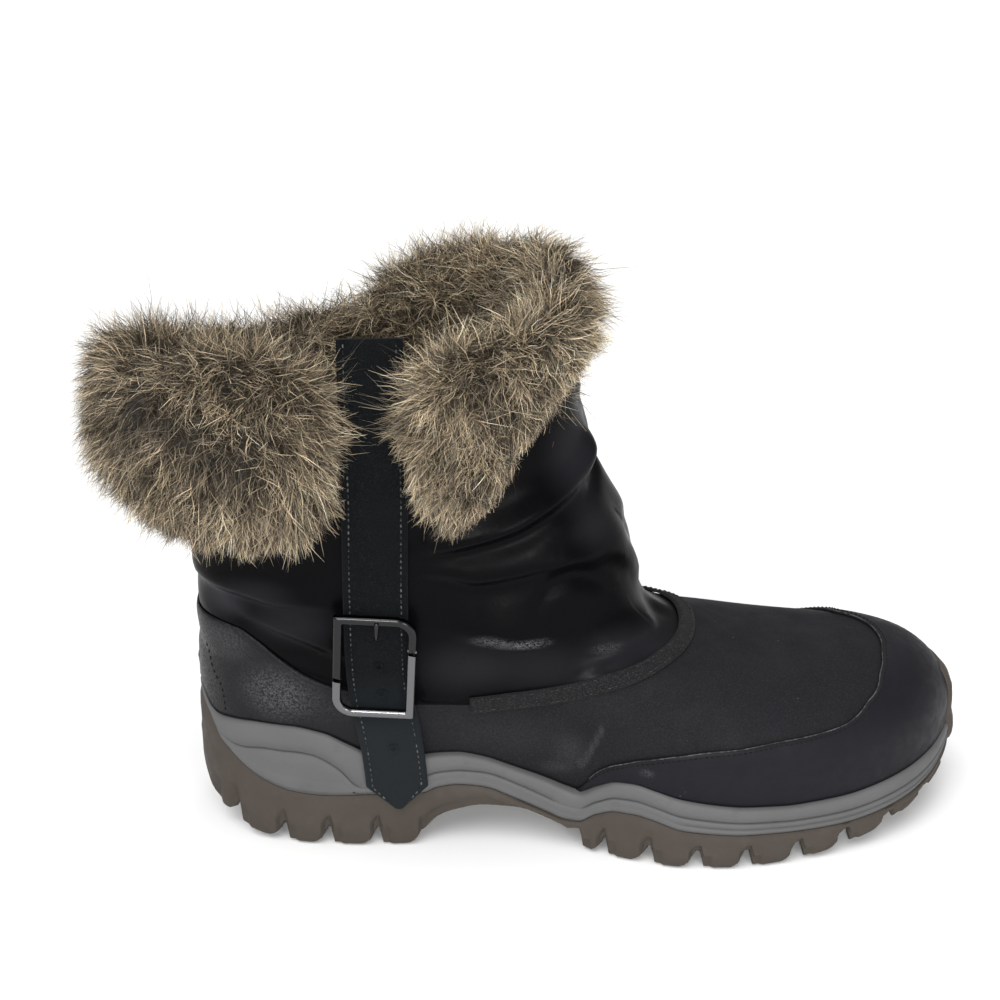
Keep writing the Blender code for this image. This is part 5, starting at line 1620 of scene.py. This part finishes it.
def build_fur(node, name, partings, length, back, cross, spill, seed):
    """Hairs of a cuff: tapered ribbons gathered in locks, dark at the root (partly painted shadow) and pale at
    the tip.
    """
    rng = np.random.default_rng(seed)
    base, out, gap = hair_roots(node, rng)
    box_low, box_high = (np.array(corner) / MM + SHIFT for corner in cad_box)
    count = len(base)
    above = base[:, 2] - lower_edge(node, base)
    clumps = rng.choice(count, count // LOCK_HAIRS, replace=False)
    owner = lock_owners(base, clumps)
    fall, near = comb(base, out, gap, partings)
    # shade is the painted light and shade of the fur
    lean, shade = eddies(base, out)
    lean[:, 0] -= back * (gap > 0) * ease(-25.0, -36.0, base[:, 1])
    swirl = rng.normal(0, LOCK_LEAN, (len(clumps), 3))[owner] + lean
    stray = rng.normal(0, HAIR_LEAN, (count, 3))
    beside = base[:, 0] - strap_x(base[:, 2])
    over = (gap > -4.0) * (base[:, 1] < -20.0) * (1.0 - ease(*LEAN_OVER, np.abs(beside)))
    high = ease(*COVERED_STRAP, base[:, 2])
    swirl[:, 0] -= (0.3 + cross * high) * over * np.sign(beside)
    swirl[:, 2] += 0.2 * cross * high * over
    aim = unit(0.36 * out + fall + swirl + stray)
    size = length * rng.uniform(0.7, 1.1, count) * rng.uniform(0.8, 1.1, len(clumps))[owner]
    size = np.where(rng.random(count) < 0.05, size * 1.2, size) * (1.0 - 0.3 * near)
    size = size * np.where(gap > 0, 0.42 + 0.58 * ease(1.0, 20.0, above), 1.0)
    size = size * (1.0 + 0.18 * cross * over * high)
    bend = 0.1 * DOWN + 0.12 * out + rng.normal(0, HAIR_BEND, (count, 3))
    tip = base + (aim + bend) * size[:, None]
    lock_tip = tip[clumps][owner]
    pull = rng.uniform(0.3, 0.75, count) * np.exp(-np.linalg.norm(lock_tip - tip, axis=1) / 9.0)
    tip = tip + (lock_tip - tip) * pull[:, None]
    reach = np.maximum((np.maximum(tip - box_high, 0) + np.maximum(box_low - tip, 0)).max(1) - HAIR_REACH, 0)
    tip = base + (tip - base) * np.clip(1.0 - reach / np.maximum(size, 1.0), 0.3, 1.0)[:, None]
    tip = base + (tip - base) * edge_share(node, base, tip, gap, spill, rng)[:, None]
    size = np.minimum(size, 1.1 * np.linalg.norm(tip - base, axis=1))
    curve = hair_curve(base, aim, tip, size, gap, rng)
    run = unit(np.gradient(curve, axis=0))
    side = unit(np.cross(run[1], rng.normal(0, 1, (count, 3))))
    kind = rng.random(count)
    half = HAIR_HALF * rng.uniform(0.7, 1.3, count) * np.where(kind > DARK_KIND, 0.95, 1.18)
    wide = side[None] * (HAIR_TAPER[:, None] * half[None])[:, :, None]
    verts = np.stack([curve - wide, curve + wide], 2).transpose(1, 0, 2, 3).reshape(-1, 3)
    steps = len(HAIR_STEPS)
    strip = np.array([[2 * k, 2 * k + 1, 2 * k + 3, 2 * k + 2] for k in range(steps - 1)])
    tones = hair_tones(kind, shade * rng.uniform(0.5, 1.45, len(clumps))[owner], near, rng)
    piece(name, verts, repeated(strip, count, 2 * steps), (FUR,), solid=False, tones=tones)


def build_floor():
    corners = [(-1, -1), (1, -1), (1, 1), (-1, 1)]
    mesh = bpy.data.meshes.new("floor")
    mesh.from_pydata([(FLOOR_HALF * x, FLOOR_HALF * y, -FLOOR_DROP) for x, y in corners], [], [(0, 1, 2, 3)])
    mesh.materials.append(Finish("floor", (0.9, 0.9, 0.9), 0.9, Specular_IOR_Level=0.1).material)
    placed("floor", mesh)


def turned_to(way):
    """Rotation that points a lamp along a way."""
    return Vector(way).to_track_quat("-Z", "Y").to_euler()


def build_light():
    """Soft light from above and the left."""
    world = bpy.data.worlds.new("studio")
    world.use_nodes = True
    background = world.node_tree.nodes["Background"].inputs
    background["Color"].default_value = (1.0, 1.0, 1.0, 1.0)
    background["Strength"].default_value = WORLD_STRENGTH
    bpy.context.scene.world = world
    sun = bpy.data.lights.new("sky", "SUN")
    sun.energy = SUN_STRENGTH
    sun.angle = math.radians(SUN_SPREAD)
    placed("sky", sun).rotation_euler = turned_to(SUN_WAY)
    for name, spot, wide, power in LAMPS:
        lamp = bpy.data.lights.new(name, "AREA")
        lamp.size = wide
        lamp.energy = power
        thing = placed(name, lamp)
        thing.location = spot
        thing.rotation_euler = turned_to(Vector(LAMP_TARGET) - Vector(spot))


def build_camera():
    camera = bpy.data.cameras.new("camera")
    camera.sensor_width = 36.0
    camera.lens = CAMERA_LENS
    camera.clip_start = 0.01
    seat = placed("camera", camera)
    pitch = math.radians(CAMERA_PITCH)
    yaw = math.radians(CAMERA_YAW)
    ahead = Vector((math.sin(yaw) * math.cos(pitch), math.cos(yaw) * math.cos(pitch), -math.sin(pitch)))
    right = ahead.cross(Vector((0.0, 0.0, 1.0))).normalized()
    turn = Matrix((right, right.cross(ahead), -ahead)).transposed().to_4x4()
    turn.translation = Vector(tuple((np.array(CAMERA_PLACE) - SHIFT) * MM))
    seat.matrix_world = turn
    bpy.context.scene.camera = seat
    bpy.context.scene.view_settings.view_transform = "Standard"


build_floor()
build_light()
build_camera()
build_upper()
build_guard()
build_counter()
build_trim()
sew_guard()
sew_counter()
build_midsole()
build_outsole()
build_bumper()
build_strap()
build_buckle()
dress_insole()
for node, partings, length, back, cross, spill, seed in FUR_PLAN:
    build_hide(node)
    for half in ("a", "b"):
        seed += 1
        build_fur(node, node + "_fur_" + half, partings, length, back, cross, spill, seed)
